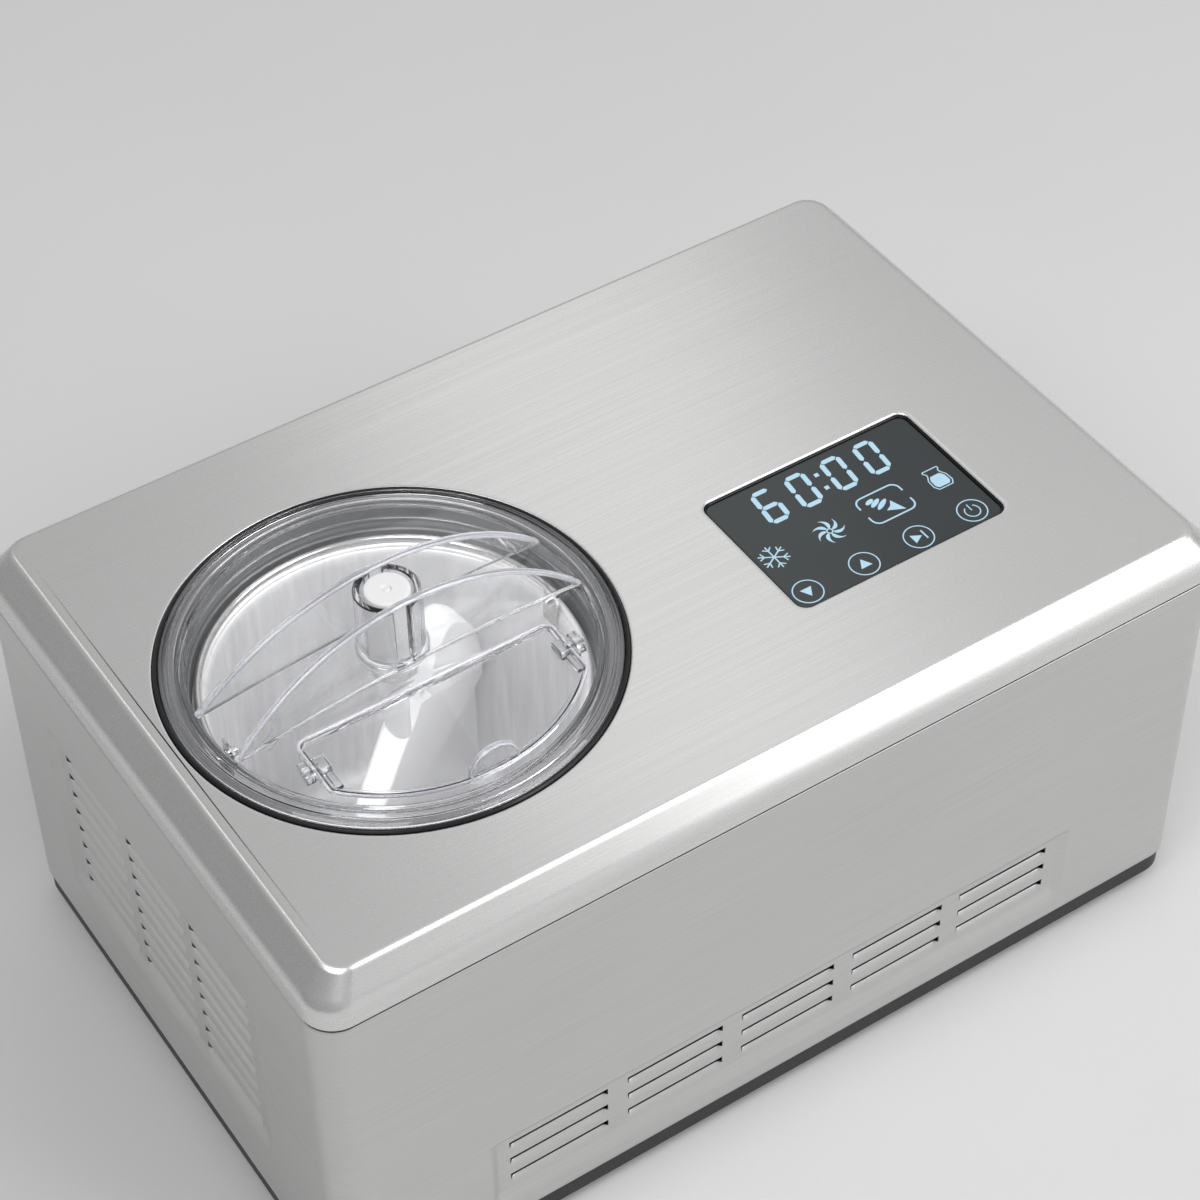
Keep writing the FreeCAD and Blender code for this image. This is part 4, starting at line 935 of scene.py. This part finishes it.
def paddle():
    segs = 72
    lathe("paddle_journal", [(0.01, 204.0), (9.3, 204.0), (9.3, 246.9), (9.15, 247.5), (8.8, 247.85), (8.3, 248.0), (7.6, 248.0), (2.3, 248.0), (2.0, 247.9), (1.8, 247.5), (1.5, 247.3), (1.2, 247.5), (0.9, 247.75), (0.01, 247.8)], M_CAP, "paddle", ("paddle",), segs, angle=50, close=False)
    lathe("paddle_cup", fillet2([(4.0, 203.0), (7.0, 205.0), (9.6, 207.4), (11.6, 212.0), (12.3, 217.9), (11.4, 217.9), (10.5, 212.6), (9.0, 209.5), (4.0, 209.5)], 0.35, 3), M_WHITE, "paddle", (), segs, angle=40)
    lathe("paddle_stem", fillet2([(0.01, 150.0), (5.4, 150.0), (5.2, 190.0), (5.4, 203.5), (6.4, 206.0), (0.01, 206.0)], [0, 0.3, 6.0, 2.0, 0, 0], 5), M_WHITE, "paddle", (), segs, angle=40, close=False)
    loops = []
    for (r, zb, zf, z0) in spline(RAIL, 4):
        sec = fillet2([(VANE_W, zb), (-VANE_W, zf), (-VANE_W, z0), (VANE_W, z0)], [2.0, 2.4, 1.2, 1.2], 4)
        loops.append([turn(r, y, z) for (y, z) in sec])
    rings("paddle_rail", loops, M_WHITE, "paddle", True, True, angle=40)
    web = [(71.2, 140.0), (71.2, 76.0), (68.0, 69.5), (62.0, 67.5), (-62.0, 67.5), (-68.0, 69.5), (-70.6, 76.0), (-70.6, 112.0), (-45.0, 130.0), (0.0, 140.0)]
    extrude("paddle_web", web, lambda x, z: turn(x, -1.6, z), lambda x, z: turn(x, 1.6, z), M_WHITE, "paddle", (), 0.5, 3)
    lathe("paddle_foot", fillet2([(8.4, 67.5), (14.5, 67.5), (14.5, 92.0), (6.0, 106.0), (6.0, 103.5), (8.4, 92.5)], 0.5, 3), M_WHITE, "paddle", (), segs, angle=40)


paddle()

# ------------------------------------------------------------------ display
GZ = 211.25
wcx, wcy, whx, why = 94.95, -42.95, 51.45, 35.65
lp = lambda hx, hy, r, z: [(x, y, z) for (x, y) in rrect(hx, hy, r, wcx, wcy, 8)]
rings("display_glass_form", [lp(whx - 0.7, why - 0.7, 4.3, 209.4), lp(whx - 0.7, why - 0.7, 4.3, GZ - 0.2), lp(whx - 0.78, why - 0.78, 4.22, GZ - 0.05), lp(whx - 0.95, why - 0.95, 4.05, GZ)], M_GLASS, "housing", True, True, ("display_glass",), 30)
rings("display_bezel_form", [lp(whx - 0.12, why - 0.12, 4.88, 207.2), lp(whx - 0.12, why - 0.12, 4.88, 211.95), lp(whx - 0.22, why - 0.22, 4.78, 212.1), lp(whx - 0.42, why - 0.42, 4.58, 212.1), lp(whx - 0.6, why - 0.6, 4.4, 211.95), lp(whx - 0.66, why - 0.66, 4.34, 209.2), lp(whx - 0.66, why - 0.66, 4.34, 207.2), lp(whx - 0.12, why - 0.12, 4.88, 207.2)], M_TRIM, "housing", False, False, ("display_bezel",), 40)

LZ = lambda x, y: GZ + 0.005
items = []


def circ(cx, cy, r, w, n=40, a0=0, a1=360):
    full = abs(a1 - a0) >= 360
    k = n if full else n + 1
    pts = [(cx + r * math.cos(math.radians(a0 + (a1 - a0) * i / n)), cy + r * math.sin(math.radians(a0 + (a1 - a0) * i / n))) for i in range(k)]
    return ("line", pts, w, full)


# seven-segment digits, slanted
def digit(cx, cy, segs_on, w=10.4, h=19.8, t=2.25, slant=0.10):
    hw, hh = w / 2 - t / 2, h / 2 - t / 2
    g = 0.28
    P = {"a": ((-hw, hh), (hw, hh)), "b": ((hw, hh), (hw, 0)), "c": ((hw, 0), (hw, -hh)), "d": ((-hw, -hh), (hw, -hh)), "e": ((-hw, 0), (-hw, -hh)), "f": ((-hw, hh), (-hw, 0)), "g": ((-hw, 0), (hw, 0))}
    for s in segs_on:
        (x0, y0), (x1, y1) = P[s]
        a, b = Vector((x0, y0)), Vector((x1, y1))
        d = (b - a).normalized()
        nv = Vector((-d.y, d.x))
        a, b = a + d * g, b - d * g
        k = t / 2
        poly = [a, a + d * k + nv * k, b - d * k + nv * k, b, b - d * k - nv * k, a + d * k - nv * k]
        items.append(("poly", [(cx + p.x + slant * p.y, cy + p.y) for p in poly]))


digit(68.4, -21.8, "acdefg")
digit(85.2, -21.8, "abcdef")
digit(103.2, -21.8, "abcdef")
digit(120.0, -21.8, "abcdef")
for dy in (-4.2, 4.2):
    x, y = 94.3 + 0.1 * dy, -21.8 + dy
    items.append(("poly", [(x - 1.0, y - 1.0), (x + 1.0, y - 1.0), (x + 1.2, y + 1.0), (x - 0.8, y + 1.0)]))
# snowflake
cx, cy = 52.4, -46.8
for k in range(6):
    a = math.radians(60 * k + 30)
    ux, uy = math.cos(a), math.sin(a)
    items.append(("line", [(cx, cy), (cx + 6.6 * ux, cy + 6.6 * uy)], 0.62))
    for q in (-1, 1):
        b = a + q * math.radians(48)
        px, py = cx + 3.9 * ux, cy + 3.9 * uy
        items.append(("line", [(px, py), (px + 2.6 * math.cos(b), py + 2.6 * math.sin(b))], 0.55))
# turning vanes
cx, cy = 79.8, -47.2
items.append(circ(cx, cy, 1.25, 0.55, 20))
for k in range(7):
    a = math.radians(360 / 7 * k + 12)
    outer_, inner_ = [], []
    for i in range(9):
        t = i / 8.0
        rad = 1.7 + 5.3 * t
        th = a + 0.62 * t * t
        wd = 0.75 * math.sin(math.pi * min(1, 0.12 + 0.88 * t)) + 0.12
        outer_.append((cx + rad * math.cos(th) - wd * math.sin(th), cy + rad * math.sin(th) + wd * math.cos(th)))
        inner_.append((cx + rad * math.cos(th) + wd * math.sin(th), cy + rad * math.sin(th) - wd * math.cos(th)))
    items.append(("poly", outer_ + inner_[::-1]))
# cone between bracket corners
cx, cy = 108.0, -47.2
for sx in (-1, 1):
    for sy in (-1, 1):
        pts = []
        ox, oy, r = cx + sx * 7.0, cy + sy * 4.6, 3.6
        pts.append((cx + sx * 0.6 * 0 + sx * 0.0, cy + sy * 8.2)) if sx < 0 else None
        arc = [(ox + sx * r * math.sin(math.radians(q)), oy + sy * r * math.cos(math.radians(q))) for q in range(0, 91, 15)]
        items.append(("line", [(cx, cy + sy * 8.2)] + arc + [(cx + sx * 10.6, cy + sy * 2.6)], 0.75))
cone = lambda x, y: (cx + x * 0.78 + y * 0.0, cy + y * 0.62)
# the cone lies with its tip to the front right
ca, sa = math.cos(math.radians(-48)), math.sin(math.radians(-48))
def cp(u, v):
    u, v = u * 1.28, v * 1.22
    return (cx - 0.6 + u * ca - v * sa, cy - 0.2 + u * sa + v * ca)
items.append(("poly", [cp(1.2, -2.5), cp(7.0, 0.0), cp(1.2, 2.5), cp(1.8, 0.0)]))
for (u0, hw_) in ((-0.9, 2.9), (-3.1, 2.4), (-5.0, 1.7)):
    pts = [cp(u0 + 0.9 * math.cos(t) + 0.5 * math.sin(t), hw_ * math.sin(t)) for t in [2 * math.pi * i / 18 for i in range(18)]]
    items.append(("poly", pts))
# jug
cx, cy = 135.0, -47.0
jug = [(-3.8, 6.0), (3.8, 6.0), (3.8, 5.0), (2.9, 4.0), (3.2, 2.6), (4.5, 0.4), (4.7, -3.6), (3.4, -5.8), (-3.4, -5.8), (-4.7, -3.6), (-4.5, 0.4), (-3.2, 2.6), (-2.9, 4.0), (-3.8, 5.0)]
items.append(("line", [(cx + x, cy + y) for (x, y) in fillet2(jug, 0.5, 3)], 0.5, True))
items.append(("poly", [(cx + x, cy + y) for (x, y) in fillet2([(-2.4, 2.2), (2.4, 2.2), (3.6, 0.1), (3.7, -3.3), (2.7, -4.8), (-2.7, -4.8), (-3.7, -3.3), (-3.6, 0.1)], 0.8, 3)]))
# touch keys
KY = -70.0
for kx in (52.3, 80.1, 107.5, 134.8):
    items.append(circ(kx, KY, 6.3, 0.52, 48))
items.append(("poly", [(49.6, KY + 1.9), (52.3, KY - 2.9), (55.0, KY + 1.9)]))
items.append(("poly", [(77.4, KY - 1.9), (82.8, KY - 1.9), (80.1, KY + 2.9)]))
items.append(("poly", [(109.0, KY), (104.6, KY + 2.5), (104.6, KY - 2.5)]))
items.append(("line", [(110.3, KY + 2.6), (110.3, KY - 2.6)], 0.7))
items.append(circ(134.8, KY - 0.2, 3.3, 0.5, 24, 125, 415))
items.append(("line", [(134.8, KY + 4.0), (134.8, KY + 0.2)], 0.5))
bars("display_marks", items, M_LIGHT, "housing", LZ, 0.03)

# ------------------------------------------------------------------ finishes for the CAD pieces that stay
slotmat = {
    "stainless": M_BODY, "dark_plastic": M_BASE, "grey_plastic": M_COLLAR, "white_plastic": M_WHITE, "clear_plastic": M_CLEAR, "dark_glass": M_GLASS,
    "rubber_black": M_RUBBER, "seal_silicone": M_SEAL, "aluminium": metal("aluminium_satin", (0.66, 0.67, 0.68), 0.38, (300, 300, 40)), "bowl_aluminium": M_BOWL,
    "zinc_screw": metal("zinc_plate", (0.66, 0.67, 0.70), 0.26), "copper": metal("copper_tube", (0.80, 0.46, 0.30), 0.26), "brass": metal("brass_turned", (0.78, 0.62, 0.34), 0.25),
    "compressor_paint": plastic("black_paint", (0.016, 0.016, 0.018), 0.3, 500), "galvanised": metal("galvanised", (0.55, 0.57, 0.58), 0.5, (60, 60, 60)),
    "foam": plastic("foam", (0.74, 0.66, 0.44), 0.8, 400, 0.4), "board_green": plastic("board_green", (0.03, 0.16, 0.07), 0.4, 300),
    "gear_nylon": plastic("nylon", (0.74, 0.72, 0.64), 0.4, 500), "motor_steel": metal("motor_steel", (0.5, 0.51, 0.52), 0.32)}
for sp in frame["record"]["subparts"]:
    nd = nodes.get(sp["node"])
    if nd is None or nd.hide_render:
        continue
    m = slotmat[sp["material_slot"]]
    if not nd.data.materials:
        nd.data.materials.append(m)
    for ms in nd.material_slots:
        ms.material = m
for nm in ("bail_handle", "bail_ears"):
    for ms in nodes[nm].material_slots:
        ms.material = M_WIRE

# ------------------------------------------------------------------ camera
R = [(0.83394649, -0.55173238, -0.01116434), (-0.40010043, -0.59057292, -0.70081614), (0.3800696, 0.58891002, -0.71325458)]
cam_d = bpy.data.cameras.new("camera")
cam_d.sensor_width, cam_d.lens = 36.0, 36.0 * 3137.03 / 1200.0
cam_d.clip_start, cam_d.clip_end = 0.05, 30.0
cam = bpy.data.objects.new("camera", cam_d)
col.objects.link(cam)
xa, ya, za = Vector(R[0]), -Vector(R[1]), -Vector(R[2])
cam.matrix_world = Matrix(((xa.x, ya.x, za.x, -0.49066), (xa.y, ya.y, za.y, -0.75904), (xa.z, ya.z, za.z, 1.0970), (0, 0, 0, 1)))
bpy.context.scene.camera = cam

# ------------------------------------------------------------------ stage and light
def floor():
    me = bpy.data.meshes.new("floor")
    s = 6.0
    me.from_pydata([(-s, -s, 0), (s, -s, 0), (s, s, 0), (-s, s, 0)], [], [(0, 1, 2, 3)])
    ob = bpy.data.objects.new("floor", me)
    col.objects.link(ob)
    m, nt, out = new_mat("floor_paper")
    tc = nt.nodes.new("ShaderNodeTexCoord")
    w = noise(nt, tc.outputs["Object"], (3, 3, 3), 1.0, 3.0, 0.5)
    b = N(nt, "ShaderNodeBsdfPrincipled", Roughness=0.7)
    b.inputs["Specular IOR Level"].default_value = 0.2
    L(nt, ramp(nt, w, [(0.3, 0.50), (0.7, 0.515)]), b.inputs["Base Color"])
    L(nt, b.outputs[0], out.inputs["Surface"])
    me.materials.append(m)


floor()


def area(name, direction, dist, sx, sy, power, target=(0, 0, 0.12), along_x=False):
    d = Vector(direction).normalized()
    ld = bpy.data.lights.new(name, "AREA")
    ld.shape, ld.size, ld.size_y, ld.energy = "RECTANGLE", sx, sy, power
    ob = bpy.data.objects.new(name, ld)
    col.objects.link(ob)
    ob.location = Vector(target) + d * dist
    ob.rotation_mode = "QUATERNION"
    if along_x:                    # its first side lies along the object's long side
        xa = (Vector((1, 0, 0)) - d * d.x).normalized()
        ya = d.cross(xa)
        ob.rotation_quaternion = Matrix(((xa.x, ya.x, d.x), (xa.y, ya.y, d.y), (xa.z, ya.z, d.z))).to_quaternion()
    else:
        ob.rotation_quaternion = (-d).to_track_quat("-Z", "Y")
    return ob


area("soft_back", (0.385, 0.56, 0.73), 2.7, 0.55, 1.3, 1.15, along_x=True)
area("soft_back_left", (-0.29, 0.58, 0.76), 2.6, 0.35, 0.8, 1.2, along_x=True)
area("soft_key", (0.46, -0.52, 0.78), 2.7, 1.8, 1.5, 46)
area("soft_front", (0.68, -0.70, 0.20), 2.6, 2.2, 0.9, 9)
area("soft_fill", (-0.45, -0.25, 0.86), 2.8, 1.6, 1.6, 38)

w = bpy.data.worlds.new("studio")
bpy.context.scene.world = w
w.use_nodes = True
nt = w.node_tree
nt.nodes.clear()
out = nt.nodes.new("ShaderNodeOutputWorld")
bg = nt.nodes.new("ShaderNodeBackground")
tc = nt.nodes.new("ShaderNodeTexCoord")
sep = nt.nodes.new("ShaderNodeSeparateXYZ")
L(nt, tc.outputs["Generated"], sep.inputs[0])
# a room that is darker low down at the back left and lighter towards the front right
dot = N(nt, "ShaderNodeVectorMath", operation="DOT_PRODUCT")
L(nt, tc.outputs["Generated"], dot.inputs[0])
dot.inputs[1].default_value = (0.75, -0.25, 0.45)
ma = N(nt, "ShaderNodeMath", operation="MULTIPLY_ADD")
L(nt, dot.outputs["Value"], ma.inputs[0])
ma.inputs[1].default_value, ma.inputs[2].default_value = 0.5, 0.5
L(nt, ramp(nt, ma.outputs[0], [(0.10, 0.40), (0.22, 0.50), (0.48, 0.56), (0.72, 0.66), (0.95, 0.76)]), bg.inputs["Color"])
bg.inputs["Strength"].default_value = 0.85
L(nt, bg.outputs[0], out.inputs["Surface"])
if hasattr(bpy.context.scene, "cycles"):
    bpy.context.scene.cycles.transparent_max_bounces = 48
    bpy.context.scene.cycles.transmission_bounces = 24
    bpy.context.scene.cycles.max_bounces = 24
bpy.context.scene.view_settings.view_transform = "Standard"
bpy.context.scene.view_settings.look = "None"
